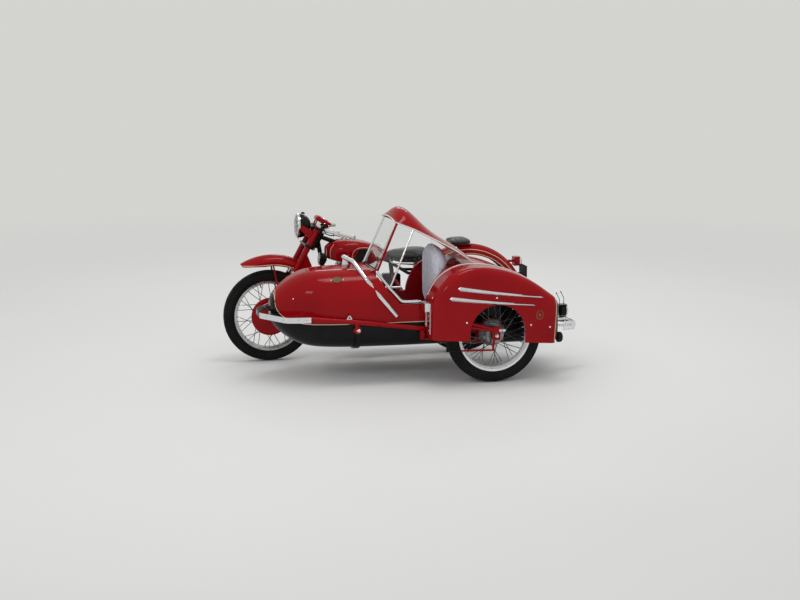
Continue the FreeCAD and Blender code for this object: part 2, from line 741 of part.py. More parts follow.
def rearGuard(frame, units):
    back = S.wheelBase
    centre = at(back + 20, 0, 345)
    skin = guardFace(centre, S.tyreRadius + S.rearGuardGap, -2).revolve(centre, -Y, 172)
    w = S.guardHalfWidth - 1
    rods = [rod(at(back + 340, 0, 660), at(back + 388, 0, 660), 9),
            sideProfile([(back - 105, 806.2), (back - 105, 800), (back + 50, 800),
                         (back + 50, 806.2)], -64, 64)]
    for side in (-1, 1):
        rods.append(rod(at(back, side * 98, 495), at(back, side * w, 745), 7))
        rods.append(rod(at(back - 138, side * 98, 598), at(back - 116, side * w, 735), 7))
        rods.append(rod(at(back + 400, side * 40, 560), at(back + 465, side * 40, 560), 5))
    keep("rear_mudguard", joined(skin, *rods).cut(frame.Shape).cut(units.Shape))
    lens = turning("tail_lens", (T.wheelBase + 396, 0, 655),
                   [(0, 0), (0, 34), (40, 34), (52, 26), (52, 0)], "X")
    base = block("tail_base", (T.wheelBase + 388, -30, 626), 46, 60, 66)
    node("tail_lamp", fused("tail_lamp", lens, base))
    plate = block("plate_blank", (T.wheelBase + 465, -90, 520), 4, 180, 110)
    holes = []
    for name, y in (("left", -60), ("right", 60)):
        hole = doc.addObject("Part::Cylinder", "plate_hole_" + name)
        hole.Placement = Placement(Vector(), Rotation(Y, 90))
        hole.Radius = 3.2
        hole.Height = 20
        placed(hole, T.wheelBase + 455, y, 575)
        holes.append(hole)
    node("rear_plate", trimmed("rear_plate", plate, *holes))


# ---------------------------------------------------------------- engine

def finned(label, place, core, height, fin, first, pitch, count, thick):
    """Round core with a pattern of round fins up it."""
    body = newBody(label)
    ring = circleSketch(body, label + "_core_ring", core, 0)
    stem = body.newObject("PartDesign::Pad", label + "_core")
    stem.Profile = ring
    bind(stem, "Length", height)
    ring = circleSketch(body, label + "_fin_ring", fin, first)
    leaf = body.newObject("PartDesign::Pad", label + "_fin")
    leaf.Profile = ring
    bind(leaf, "Length", thick)
    pattern = body.newObject("PartDesign::LinearPattern", label + "_fins")
    pattern.Originals = [leaf]
    pattern.Direction = (ring, ["N_Axis"])
    bind(pattern, "Length", (count - 1) * pitch)
    bind(pattern, "Occurrences", count)
    body.Tip = pattern
    placed(body, *place)
    return body


def circleSketch(body, label, radius, height):
    sketch = body.newObject("Sketcher::SketchObject", label)
    origin = [item for item in body.Origin.OriginFeatures if item.Role == "XY_Plane"][0]
    sketch.AttachmentSupport = (origin, "")
    sketch.MapMode = "FlatFace"
    bind(sketch, "AttachmentOffset.Base.z", height)
    sketch.addGeometry(Part.Circle(Vector(), Z, float(radius)), False)
    sketch.addConstraint(Sketcher.Constraint("Coincident", 0, 3, -1, 1))
    sketch.addConstraint(Sketcher.Constraint("Radius", 0, float(radius)))
    bind(sketch, "Constraints[1]", radius)
    return sketch


def crankcase():
    half, r, gear = T.caseHalfWidth, T.caseRadius, T.gearRadius
    diag = 0.7071
    run, rise = T.gearX - T.crankX, T.gearZ - T.crankZ
    middle = padded("case_middle", (T.crankX, 22 - half, T.crankZ), [
        (-r, 0), (0, r, r * -diag, r * diag), (run, rise + gear),
        (run + gear, rise, run + gear * diag, rise + gear * diag),
        (run, rise - gear, run + gear * diag, rise - gear * diag), (0, 6 - r),
        (-r, 0, r * -diag, 6 - r * diag)], half * 2 - 44)
    drum = turning("case_drum", (T.crankX, 0, T.crankZ), [
        (-half, 0), (-half, r - 16), (12 - half, r - 4), (half - 12, r - 4), (half, r - 16),
        (half, 0)])
    mouth = doc.addObject("Part::Cylinder", "case_mouth")
    bind(mouth, "Radius", T.barrelRadius + 16)
    mouth.Height = 40
    placed(mouth, T.boreX, 0, T.barrelBaseZ - 39.7)
    timing = padded("timing_chest", (T.crankX, half - 1, T.crankZ), [
        (-60, -70), (20, -84, -24, -86), (190, 34), (176, 92, 206, 66), (120, 110), (-50, 100),
        (-60, -70, -84, 14)], 35)
    ring = turning("timing_cap", (T.crankX + 20, half + 33, T.crankZ), [
        (0, 0), (0, 52), (7, 50), (7, 40), (4, 38), (4, 0)])
    primary = padded("primary_chest", (T.crankX, -40 - half, T.crankZ), [
        (-90, 0), (0, 88, -63, 63), (run, rise + 96), (run, rise - 96, run + 96, rise),
        (0, -90), (-90, 0, -63, -63)], 41)
    dome = turning("clutch_dome", (T.gearX, -40 - half, T.gearZ), [
        (1, 0), (1, 70), (-6, 66), (-12, 48, -10, 58), (-14, 0)])
    return node("engine_cases", fused("engine_cases", middle, drum, mouth, timing, ring, primary, dome))


def engine():
    cases = crankcase()
    z = T.barrelBaseZ + 0.6
    height = T.finPitch * T.finCount
    node("cylinder_barrel", finned("cylinder_barrel", (T.boreX, 0, z), T.barrelRadius, height,
                                   T.finHalf, 8, T.finPitch, T.finCount, T.finThick))
    z = z + height + 0.3
    rise = T.rockerTopZ - z
    fins = finned("head_fins", (T.boreX, 0, z), T.barrelRadius + 8, rise - 30, T.finHalf + 3, 5,
                  T.finPitch, T.headFinCount, T.finThick)
    box = block("rocker_block", (T.boreX - 80, -48, T.rockerTopZ - 52), 150, 96, 52)
    rocker = doc.addObject("Part::Fillet", "rocker_box")
    rocker.Base = box
    doc.recompute()
    rocker.Edges = [(i + 1, 12.0, 12.0) for i in range(len(box.Shape.Edges))]
    ports = []
    for name, x, y in (("exhaust", T.boreX - T.finHalf - 8, 26), ("inlet", T.boreX + 30, 0)):
        port = doc.addObject("Part::Cylinder", name + "_port")
        port.Placement = Placement(Vector(), Rotation(Y, 90))
        port.Radius = 25
        bind(port, "Height", T.finHalf - 20)
        placed(port, x, y, z + 52)
        ports.append(port)
    node("cylinder_head", fused("cylinder_head", rocker, fins, *ports))
    portZ = float(z) + 52
    x = S.boreX + S.finHalf + 10.3
    keep("carburettor", joined(
        rod(at(x, 0, portZ), at(x + 100, 0, portZ), 22),
        rod(at(x + 96, 0, portZ), at(x + 118, 0, portZ), 31),
        Part.makeCylinder(24, 100, at(x + 42, 0, portZ - 46), Z),
        Part.makeCylinder(27, 52, at(x + 42, 46, portZ - 58), Z),
        rod(at(x + 42, 0, portZ - 36), at(x + 42, 46, portZ - 36), 10)))
    x = S.boreX - S.finHalf - 8.3
    pipe = tube([at(x, 26, portZ), at(432, 26, portZ), at(432, 122, 420), at(520, 140, 196),
                 at(740, 140, 180), at(800, 140, 180)], S.pipeRadius, 44)
    pipe = helper("exhaust_pipe", pipe)
    can = turning("silencer", (0, 140, 180), [
        (790, 0), (790, T.pipeRadius), (860, T.silencerRadius), (872, T.silencerRadius + 3),
        (884, T.silencerRadius), (1310, T.silencerRadius), (1322, T.silencerRadius + 3),
        (1334, T.silencerRadius), (1420, 24), (1470, 24), (1470, 0)], "X")
    node("exhaust", fused("exhaust", pipe, can))
    return cases


def fittings(frame, tank, cases):
    horn = turning("horn_shell", (364, -66, 738), [
        (0, 0), (0, 34), (-6, 38), (-6, 44), (2, 47), (10, 44), (38, 38), (48, 22), (52, 0)], "X", 6)
    bracket = helper("horn_bracket", rod(at(398, -50, 734), at(392, 0, 730), 6))
    whole = fused("horn_whole", horn, bracket)
    node("horn", trimmed("horn", whole, frame, tank))
    low = S.cradleZ - S.cradleTube - 10
    rests = tube([at(700, y, z) for y, z in ((-215, 200), (-192, 200), (-172, low), (172, low),
                                             (192, 200), (215, 200))], 10, 8)
    pads = []
    for side in (-1, 1):
        pads.append(rod(at(700, side * 205, 200), at(700, side * 280, 200), 17))
        for y in (214, 234, 254, 274):
            pads.append(rod(at(700, side * y, 200), at(700, side * (y + 6), 200), 19))
    keep("footrests", joined(rests, *pads))
    case = padded("chain_guard", (0, -70, 0), [
        (T.gearX + 30, 252), (T.wheelBase, 252),
        (T.wheelBase, 408, T.wheelBase + 78, T.axleLevel), (T.gearX + 30, 360)], 17)
    hole = shaft("chain_case_bore", (T.wheelBase, -90, T.axleLevel), 14, 60)
    node("chain_case", trimmed("chain_case", case, hole, frame))
    y = S.caseHalfWidth - 22
    root = at(S.gearX, y, S.gearZ)
    knee = root + Vector(70, 0, 128)
    crank = joined(rod(root + Y * 0.3, root + Y * 66, 12), rod(root + Y * 58, knee + Y * 74, 8),
                   rod(knee + Y * 66, knee + Y * 150, 9), Part.makeSphere(13, root + Y * 60),
                   Part.makeSphere(11, knee + Y * 74))
    keep("kick_starter", crank)
    # gear pedal on the right, brake pedal on the left
    pedals = [
        rod(at(745, 44, 262), at(745, 126, 262), 9),
        bar(at(745, 118, 262), at(622, 122, 250), 9, 6),
        rod(at(622, 118, 250), at(622, 186, 250), 8),
        rod(at(768, -62, S.cradleZ), at(768, -122, S.cradleZ + 6), 10),
        bar(at(768, -114, S.cradleZ + 6), at(634, -150, 214), 9, 6),
        rod(at(634, -144, 214), at(634, -212, 214), 10)]
    keep("foot_controls", Part.makeCompound([joined(*pedals[:3]).cut(cases.Shape),
                                             joined(*pedals[3:]).cut(frame.Shape)]))
    # tool box under the saddle, beside the seat tube
    locker = Part.makeBox(136, 76, 142, at(848, 12, 452))
    locker = locker.makeFillet(18, [e for e in locker.Edges if e.Length > 70])
    lid = Part.makeBox(108, 5, 112, at(862, 86, 467))
    keep("tool_box", joined(locker, lid).cut(frame.Shape))


# ---------------------------------------------------------------- sidecar

BODY = [
    # x, how far inside bodyHalf, top, bottom, top round, bottom round
    (-88, 252, 548, 428, 44, 44),
    (-55, 190, 612, 366, 100, 100),
    (10, 128, 672, 306, 155, 140),
    (120, 68, 732, 250, 190, 160),
    (300, 22, 757, 226, 215, 170),
    (620, 0, 760, 222, 190, 165),
    (900, 0, 768, 222, 110, 155),
    (1150, 0, 775, 222, 70, 150),
    (1330, 0, 772, 216, 70, 140),
    (1560, 8, 708, 208, 76, 140),
    (1760, 28, 600, 200, 84, 140),
    (1905, 60, 500, 194, 90, 120),
]


def bodySection(row, inset):
    x, narrower, top, bottom, topRound, bottomRound = row
    return roundedSection(x, S.bodyHalf - narrower - inset, top - inset, bottom + inset,
                          topRound - inset, bottomRound - inset, -S.bodyOffset)


def hingeLugs():
    lugs = []
    for side in (-1, 1):
        y = -S.bodyOffset + side * S.lugSpacing
        eye = Part.makeCylinder(13, 20, at(S.hingeX, y - 10, S.hingeZ), Y)
        foot = sideProfile([(S.hingeX + 2, S.hingeZ + 12), (S.hingeX - 40, S.hingeZ + 4),
                            (S.hingeX - 40, S.hingeZ - 60), (S.hingeX + 2, S.hingeZ - 12)],
                           y - 10, y + 10)
        bore = Part.makeCylinder(S.hingePin + S.runningGap, 40, at(S.hingeX, y - 20, S.hingeZ), Y)
        lugs.append(eye.fuse(foot).cut(bore))
    return lugs


def sidecarBody():
    outer = Part.makeLoft([bodySection(row, 0) for row in BODY], True, False)
    inner = Part.makeLoft([bodySection(row, S.bodyWall) for row in BODY[1:9]], True, False)
    limit = Part.makeBox(S.seatBack + 0.3 - 20, 900, 900, at(20, -S.bodyOffset - 450, 0))
    cavity = inner.common(limit)
    y = -S.bodyOffset
    mouth = sideProfile([(585, 1250), (585, 760), (675, 632), (764, 533), (935, 527),
                         (1119, 778, 1002, 690), (1186, 782), (1186, 1250)], y - 400, y + 400)
    half = S.bodyHalf - 68
    hatch = Part.makeBox(S.seatBack + 0.3 - 600, 2 * half, 700, at(600, y - half, 560))
    half = S.bodyHalf - 100
    riser = Part.makeBox(S.seatBack - 20 - 810, 2 * half, 330 - 0.3 - 225, at(810, y - half, 225))
    shell = outer.cut(cavity).cut(mouth).cut(hatch)
    shell = shell.fuse(riser.common(outer))
    shell = joined(shell, *hingeLugs())
    low = Part.makeBox(2600, 900, S.splitZ, at(-300, y - 450, 0))
    keep("hull_lower", shell.common(low))
    keep("body_upper", shell.cut(low))
    return outer


def seats():
    y = -S.bodyOffset
    half = S.bodyHalf - 70
    cushion = Part.makeBox(300, 2 * half, 120, at(800, y - half, 330))
    keep("sidecar_cushion", cushion.makeFillet(28, cushion.Edges))
    # x, how far inside bodyHalf, top
    rows = [(S.seatBack - 80, 110, 885), (S.seatBack - 58, 86, 912), (S.seatBack, 96, 880)]
    rest = Part.makeLoft([roundedSection(x, S.bodyHalf - narrower, top, 450.3, 50, 30, y)
                          for x, narrower, top in rows], True, False)
    keep("sidecar_backrest", rest)


def canopy():
    y = -S.bodyOffset
    skin = S.canopySkin
    wide = S.bodyHalf
    # x, edge height, crown height, half width
    table = [(748, 1086, 1104, S.screenTopHalf + 6), (860, 1042, 1150, wide - 72),
             (957, 994, 1064, wide - 60), (1079, 930, 962, wide - 50),
             (1180, 872, 900, wide - 44), (1285, 798, 822, wide - 38)]
    wires = []
    for x, edge, crown, half in table:
        spot = lambda a, z: at(x, y + a, z)
        wires.append(Part.Wire([
            Part.Arc(spot(-half, edge), spot(0, crown), spot(half, edge)).toShape(),
            Part.LineSegment(spot(half, edge), spot(half - 2, edge - skin)).toShape(),
            Part.Arc(spot(half - 2, edge - skin), spot(0, crown - skin),
                     spot(-half + 2, edge - skin)).toShape(),
            Part.LineSegment(spot(-half + 2, edge - skin), spot(-half, edge)).toShape()]))
    return keep("canopy_roof", Part.makeLoft(wires, True, False)).Shape


def pane(corners, thickness):
    """Flat sheet of glass through the first three corners; the others are dropped onto it."""
    first, second, third = corners[:3]
    normal = unit((second - first).cross(third - first))
    flat = [corner - normal * normal.dot(corner - first) for corner in corners]
    return Part.Face(Part.makePolygon(flat + flat[:1])).extrude(normal * thickness)


def canopyFrame(roof):
    y = -S.bodyOffset
    t = S.glassThick
    low, high, wide = S.screenLowHalf, S.screenTopHalf, S.bodyHalf
    x, z = S.hingeX, S.hingeZ
    chrome = [rod(at(x, y - low, z), at(x, y + low, z), S.hingePin)]
    pillars = []
    sides = []
    for side in (-1, 1):
        base = tube([at(x, y + side * low, z), at(688, y + side * (wide - 16), 642),
                     at(772, y + side * (wide - 10), 549), at(905, y + side * (wide - 10), 545)],
                    10, 46)
        stay = rod(at(692, y + side * (wide - 19), 640), at(870, y + side * (wide - 76), 1036), 7)
        chrome.extend([base, stay, Part.makeSphere(10, at(x, y + side * low, z))])
        foot = at(x + 4, y + side * (low - 4), z + 8)
        head = at(x + 146, y + side * high, 1074)
        pillars.append(bar(foot, head, 8, 4))
        sides.append((foot + X * 8, head + X * 8, at(866, y + side * (wide - 74), 1030),
                      at(694, y + side * (wide - 21), 652)))
    bars = joined(*chrome).cut(roof)
    keep("canopy_frame", bars)
    posts = [largest(post.cut(bars).cut(roof)) for post in pillars]
    posts = keep("canopy_pillars", Part.makeCompound(posts)).Shape
    glass = Part.Face(Part.makePolygon([
        at(x + 6, y - low + 6, z + 6), at(x + 6, y + low - 6, z + 6), at(x + 148, y + high, 1076),
        at(x + 148, y - high, 1076), at(x + 6, y - low + 6, z + 6)])).extrude(Vector(t, 0, 0))
    glass = glass.cut(bars).cut(roof).cut(posts)
    for side in (-1, 1):
        centre = at(x, y + side * S.lugSpacing - 15, z)
        glass = glass.cut(Part.makeCylinder(19, 30, centre, Y))
    keep("windscreen_glass", largest(glass))
    panes = []
    for side, corners in zip((-1, 1), sides):
        panes.append(largest(pane(corners, t).cut(bars).cut(roof).cut(posts).cut(glass)))
        quarter = Part.Face(Part.makePolygon([at(a, y + side * (wide - 50), b) for a, b in (
            (1120, 920), (1276, 800), (1276, 790), (1120, 790), (1120, 920))]))
        panes.append(largest(quarter.extrude(Y * (side * t)).cut(roof)))
    keep("side_glass", Part.makeCompound(panes))


def brightTrim(body, fender):
    """Grab rails over the nose and the latch post beside the door opening."""
    middle = -S.bodyOffset
    wide = S.bodyHalf
    rails = []
    for side in (-1, 1):
        rails.append(tube([
            at(432, middle + side * 10, 824), at(476, middle + side * 110, 806),
            at(539, middle + side * (wide - 64), 700), at(632, middle + side * wide, 574),
            at(732, middle + side * (wide + 16), 455)], S.grabRadius, 60))
        rails.append(rod(at(728, middle + side * (wide - 10), 460),
                         at(728, middle + side * (wide + 16), 460), 8))
    foot = sideProfile([(412, 742), (500, 742), (452, 820), (424, 820)], middle - 5, middle + 5)
    hub = Part.makeSphere(S.grabRadius + 2, at(432, middle, 824))
    keep("grab_rails", joined(foot, hub, *rails).cut(body))
    # plates on the front wall of the fender, beside the door opening
    side = middle - S.bodyHalf
    post = joined(
        Part.makeBox(34, 112, 56, at(896, side - 138, 500)),
        Part.makeBox(8, 62, 206, at(922, side - 166, 350)),
        Part.makeBox(8, 34, 120, at(922, side - 60, 386)))
    post = post.makeFillet(3, [e for e in post.Edges if e.Length > 30])
    keep("latch_bracket", post.cut(fender))


def fender(body):
    outer = -S.trackWidth - S.tyreHalfWidth - S.fenderGap
    t = S.fenderSkin
    # side-view corners: x, z, corner radius
    front, rear, top = 932, 1806, 797
    skirt = [(front - 6, 320, 0), (front, top, 298), (1490, top, 790), (rear + 18, 553, 110),
             (rear, 262, 0)]
    inside = [(front - 6 + t, 100, 0), (front + t, top - t, 298 - t), (1490 - t * 0.3, top - t, 780),
              (rear + 18 - t, 553 - t * 0.6, 106), (rear - t, 100, 0)]

    def block(points, yLow, rounding, inward):
        face = softened(points, lambda x, z: at(x, yLow, z))
        solid = face.extrude(Vector(0, inward - yLow, 0))
        edges = [e for e in solid.Edges
                 if all(abs(v.Point.y - (S.bikeY + yLow)) < 0.01 for v in e.Vertexes)
                 and e.BoundBox.ZMax > 330]
        return solid.makeFillet(rounding, edges)

    seam = -S.bodyOffset - S.bodyHalf + 16
    solid = block(skirt, outer, S.fenderRound, seam)
    hollow = block(inside, outer + t, S.fenderRound - t, seam - t)
    arch = Part.makeCylinder(S.archRadius, 60, at(S.sideAxleX + 2, outer - 20, 352), Y)
    arch = arch.fuse(Part.makeBox(2 * S.archRadius, 60, 400,
                                  at(S.sideAxleX + 2 - S.archRadius, outer - 20, -48)))
    return keep("fender", solid.cut(hollow).cut(arch).cut(body)).Shape


def chassis(body, fenderShell):
    r = S.railRadius
    gap = S.bodyHalf + r + 6
    near = -S.bodyOffset - gap
    far = -S.bodyOffset + gap
    z = S.axleLevel
    nearRail = tube([at(139, near, 460), at(520, near, 418), at(967, near, 357),
                     at(1420, near, z)], r, 600)
    farRail = tube([at(139, far, 460), at(520, far, 418), at(967, far, 357),
                    at(1420, far, z)], r, 600)
    straps = []
    for x, thick in ((452, 5), (1290, 10)):
        face = Part.Face(roundedSection(x, S.bodyHalf + thick, 600, S.bodyBottomZ - thick - 2,
                                        40, 165 - thick, -S.bodyOffset))
        straps.append(face.extrude(X * 40).common(
            Part.makeBox(60, 900, 418 if x < 900 else 352, at(x - 5, -S.bodyOffset - 450, 0))))
    # round brackets that hang from the rails and hold the front strap
    for rail, inward in ((near, 1), (far, -1)):
        straps.append(rod(at(460, rail - inward * 8, 372), at(460, rail + inward * 24, 372), 25))
        straps.append(bar(at(460, rail, 372), at(452, rail, 424), 15, 7))
    shape = joined(nearRail, farRail, *straps).cut(body)
    hole = Part.makeCylinder(S.axleRadius + 0.02, 80, at(S.sideAxleX, near - 40, z), Y)
    shape = shape.cut(fenderShell).cut(hole)
    step = joined(Part.makeBox(96, 76, 9, at(908, near - 78, 300)),
                  Part.makeBox(26, 40, 62, at(888, near - 38, 296)),
                  rod(at(900, near, 362), at(900, near - 24, 330), 9))
    shape = shape.fuse(step)
    half = -S.cradleHalf
    reach1, reach2 = S.cradleTube + 0.1, S.mainTube + 0.1
    # rail end (x, z), frame end (x, y, z)
    ends = [(500, 405, 520, half - reach1, S.cradleZ), (1010, 352, 860, half - reach1, S.cradleZ),
            (440, 420, 410, -reach2, 612), (1030, 348, 914, -reach2, 580)]
    for x1, z1, x2, y2, z2 in ends:
        way = unit(at(x2, y2, z2) - at(x1, far, z1))
        strut = rod(at(x1, far, z1), at(x2, y2, z2) + way * 12, 12)
        shape = shape.fuse(strut.common(Part.makeBox(400, 500, 800, at(x2 - 200, y2 - 500, 0))))
    shape = keep("sidecar_chassis", shape.removeSplitter()).Shape
    wheelY = -S.trackWidth
    outer = wheelY - 72
    arm = joined(rod(at(1190, outer, 420), at(1376, outer, 368), 10),
                 rod(at(1190, outer, 392), at(1376, outer, 360), 10),
                 sideProfile([(1350, 300), (1400, 300), (1405, 390), (1350, 390)],
                             outer - 12, outer + 12),
                 tube([at(1020, near, 356), at(1020, outer, 406), at(1195, outer, 406)], 14, 40),
                 # brake lever, its rod and the lever that pulls it
                 bar(at(1362, outer, 318), at(1352, outer, 226), 9, 5),
                 rod(at(1352, outer, 230), at(1036, outer, 238), 6),
                 bar(at(1036, outer, 232), at(1024, outer, 402), 9, 5))
    arm = arm.cut(shape)
    arm = arm.cut(Part.makeCylinder(S.axleRadius + 0.02, 100, at(S.sideAxleX, wheelY - 120, z), Y))
    keep("wheel_arm", arm)
    keep("sidecar_axle", Part.makeCylinder(S.axleRadius, near - wheelY + 92 + 12,
                                           at(S.sideAxleX, wheelY - 92, z), Y))
    return shape


def bumper(rails):
    y = -S.bodyOffset
    w = S.bodyHalf + 2 * S.railRadius + 8
    path = route([at(139, y - w, 458), at(-20, y - w + 20, 458), at(-165, y - 90, 458),
                  at(-165, y + 90, 458), at(-20, y + w - 20, 458), at(139, y + w, 458)], 70)
    centre = at(139, y - w, 458)
    profile = Part.makePolygon([centre + Vector(0, a, b) for a, b in
                                ((-3, -19), (3, -19), (3, 19), (-3, 19), (-3, -19))])
    keep("nose_bumper", path.makePipeShell([profile], True, False).cut(rails))


def tail(body):
    lampY = 140 - T.bodyOffset - T.bodyHalf
    lamp = turning("rear_lamp_body", (1905.3, lampY, T.tailLampZ), [
        (0, 0), (0, 12), (30, 12), (34, 34), (42, 42), (84, 42), (90, 38), (90, 0)], "X")
    shade = block("rear_lamp_shade", (1925, lampY - 30, T.tailLampZ + 40), 66, 60, 3)
    wires = []
    for x, aside in ((1932, -25), (1980, 22)):
        spot = at(x, lampY.value + aside, S.tailLampZ + 41)
        wires.append(tube([spot, spot + Vector(2, 0, 40), spot + Vector(-22, 0, 86)], 2.2, 14))
        wires.append(Part.makeSphere(5, spot + Vector(-22, 0, 86)))
    wires = helper("rear_lamp_wires", joined(*wires))
    node("sidecar_tail_lamp", fused("sidecar_tail_lamp", lamp, shade, wires))
    buffer = turning("tail_buffer", (1905.3, lampY, 226), [
        (0, 0), (0, 16), (18, 16), (22, 34), (52, 34, 37, 37), (58, 26), (58, 0)], "X")
    node("tail_buffer", buffer)
    middle, z, back = -S.bodyOffset, S.rearBumperZ, S.rearReach - 2
    points = [at(back - 104, middle - 170, z), at(back, middle - 150, z),
              at(back, middle + 150, z), at(back - 104, middle + 170, z)]
    centre = points[0]
    profile = Part.makePolygon([centre + Vector(0, a, b) for a, b in (
        (-2, -26), (2, -26), (2, 26), (-2, 26), (-2, -26))])
    band = route(points, 44).makePipeShell([profile], True, False)
    holes = [Part.makeCylinder(8, 40, at(back - 20, middle + 22 * i, z + rise), X)
             for i in range(-4, 5) for rise in (-12, 12)]
    holes += [Part.makeCylinder(7, 400, at(back - 90 + 20 * i, middle - 200, z + rise), Y)
              for i in range(3) for rise in (-12, 12)]
    band = band.cut(Part.makeCompound(holes))
    arms = [rod(at(1905.3, middle + side * 112, z), at(back, middle + side * 112, z), 9)
            for side in (-1, 1)]
    keep("rear_bumper", joined(band, *arms))


wheels()
lampShell = headlamp()
legs = forkLegs(lampShell)
brakePlate(legs)
yokes = forkYokes()
frontGuard(legs)
handlebar(yokes)
frameTubes, units = frame()
tank = tankAndSeats(frameTubes)
rearGuard(frameTubes, units)
cases = engine()
fittings(frameTubes, tank, cases)
bodySolid = sidecarBody()
seats()
canopyFrame(canopy())
fenderShell = fender(bodySolid)
brightTrim(bodySolid, fenderShell)
rails = chassis(bodySolid, fenderShell)
bumper(rails)
tail(bodySolid)

doc.recompute()
os.makedirs("parts", exist_ok=True)
faulty = [part.Label for part in parts
          if "Invalid" in part.State or "Error" in part.State
          or part.Shape.isNull() or not part.Shape.isValid()]
if faulty:
    raise RuntimeError("did not build: " + ", ".join(faulty))
for part in parts:
    part.Shape.exportStep("parts/%s.step" % part.Label)
    print(part.Label, len(part.Shape.Solids), round(part.Shape.Volume / 1e6, 3))
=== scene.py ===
import bmesh
import bpy
import math
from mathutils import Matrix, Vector
from mathutils.bvhtree import BVHTree


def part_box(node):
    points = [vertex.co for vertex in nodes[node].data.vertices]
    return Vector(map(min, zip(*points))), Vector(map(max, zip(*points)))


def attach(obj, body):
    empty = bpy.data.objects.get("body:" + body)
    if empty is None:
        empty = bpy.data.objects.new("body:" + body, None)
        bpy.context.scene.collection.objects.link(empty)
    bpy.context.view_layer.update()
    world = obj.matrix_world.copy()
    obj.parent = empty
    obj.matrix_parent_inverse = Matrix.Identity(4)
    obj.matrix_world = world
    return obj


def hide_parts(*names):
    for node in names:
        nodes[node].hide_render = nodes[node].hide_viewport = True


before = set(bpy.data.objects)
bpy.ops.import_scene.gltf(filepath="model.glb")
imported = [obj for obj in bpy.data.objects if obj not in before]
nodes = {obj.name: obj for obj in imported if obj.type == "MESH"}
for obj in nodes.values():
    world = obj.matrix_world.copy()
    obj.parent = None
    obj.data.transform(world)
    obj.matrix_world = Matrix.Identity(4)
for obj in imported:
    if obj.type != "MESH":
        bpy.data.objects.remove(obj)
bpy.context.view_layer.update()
print("frame loaded:", len(nodes), "pieces")

mm = 0.001
axleLow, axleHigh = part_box("front_axle")
frontAxle = (axleLow + axleHigh) / 2
sidecarMiddle = -600     # millimetres right of the motorcycle's middle
wheelCentres = {
    "front": frontAxle,
    "rear": sum(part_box("rear_axle"), Vector()) / 2,
    "sidecar": sum(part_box("sidecar_tyre"), Vector()) / 2,
}
wheelBodies = {"front": "front_road_wheel", "rear": "rear_road_wheel", "sidecar": "sidecar_road_wheel"}
right = Vector((0, 1, 0))
up = Vector((0, 0, 1))
down = Vector((0, 0, -1))
rearward = Vector((1, 0, 0))


def at(x, y, z):
    # millimetres: x rearward of the front axle, y right of the motorcycle's middle, z above the ground
    return Vector((frontAxle.x + x * mm, frontAxle.y + y * mm, z * mm))


def towards(first, second, angle):
    # direction at an angle from the first one round to the second
    return first * math.cos(angle) + second * math.sin(angle)


# shader helpers

def startFinish(name):
    mat = bpy.data.materials.new(name)
    mat.use_nodes = True
    tree = mat.node_tree
    return mat, tree, tree.nodes["Principled BSDF"]


def setSockets(node, values):
    for key, value in values.items():
        node.inputs[key].default_value = value


def addNode(tree, kind, values=None, **settings):
    node = tree.nodes.new(kind)
    for key, value in settings.items():
        setattr(node, key, value)
    setSockets(node, values or {})
    return node


def place(tree, output="Object"):
    found = tree.nodes.get("place")
    if not found:
        found = tree.nodes.new("ShaderNodeTexCoord")
        found.name = "place"
    return found.outputs[output]


def noise(tree, scale, detail):
    node = addNode(tree, "ShaderNodeTexNoise", {"Scale": scale, "Detail": detail})
    tree.links.new(place(tree), node.inputs["Vector"])
    return node.outputs["Fac"]


def cracks(tree, scale):
    node = addNode(tree, "ShaderNodeTexVoronoi", {"Scale": scale}, feature="DISTANCE_TO_EDGE")
    tree.links.new(place(tree), node.inputs["Vector"])
    return node.outputs["Distance"]


def spread(tree, fac, low, high, fromLow=0.3, fromHigh=0.7):
    node = addNode(tree, "ShaderNodeMapRange", {
        "From Min": fromLow, "From Max": fromHigh, "To Min": low, "To Max": high})
    tree.links.new(fac, node.inputs["Value"])
    return node.outputs["Result"]


def blendColours(tree, fac, first, second):
    node = addNode(tree, "ShaderNodeMix", data_type="RGBA")
    tree.links.new(fac, node.inputs["Factor"])
    for socket, colour in ((node.inputs[6], first), (node.inputs[7], second)):
        if isinstance(colour, tuple):
            socket.default_value = (*colour, 1)
        else:
            tree.links.new(colour, socket)
    return node.outputs[2]


def mottle(tree, scale, detail, first, second):
    # soft patches of two tones
    return blendColours(tree, spread(tree, noise(tree, scale, detail), 0, 1), first, second)


def setColour(tree, shader, colour):
    tree.links.new(colour, shader.inputs["Base Color"])


def setRoughness(tree, shader, scale, detail, limits):
    tree.links.new(spread(tree, noise(tree, scale, detail), *limits), shader.inputs["Roughness"])


def maths(tree, operation, first, second=None):
    node = addNode(tree, "ShaderNodeMath", operation=operation)
    for index, value in enumerate((first, second)):
        if value is None:
            continue
        if isinstance(value, (int, float)):
            node.inputs[index].default_value = value
        else:
            tree.links.new(value, node.inputs[index])
    return node.outputs[0]


def allOf(tree, *tests):
    result = tests[0]
    for test in tests[1:]:
        result = maths(tree, "MULTIPLY", result, test)
    return result


def anyOf(tree, *tests):
    result = tests[0]
    for test in tests[1:]:
        result = maths(tree, "MAXIMUM", result, test)
    return result


def within(tree, value, half):
    # true up to a number of millimetres either side of nought
    return maths(tree, "LESS_THAN", maths(tree, "ABSOLUTE", value), half * mm)


def waves(tree, value, rate):
    return maths(tree, "SINE", maths(tree, "MULTIPLY", value, rate))


def distance(tree, first, second):
    squares = [maths(tree, "MULTIPLY", value, value) for value in (first, second)]
    return maths(tree, "SQRT", maths(tree, "ADD", *squares))


def bumps(tree, shader, height, strength, depth):
    node = addNode(tree, "ShaderNodeBump", {"Strength": strength, "Distance": depth})
    tree.links.new(height, node.inputs["Height"])
    tree.links.new(node.outputs["Normal"], shader.inputs["Normal"])


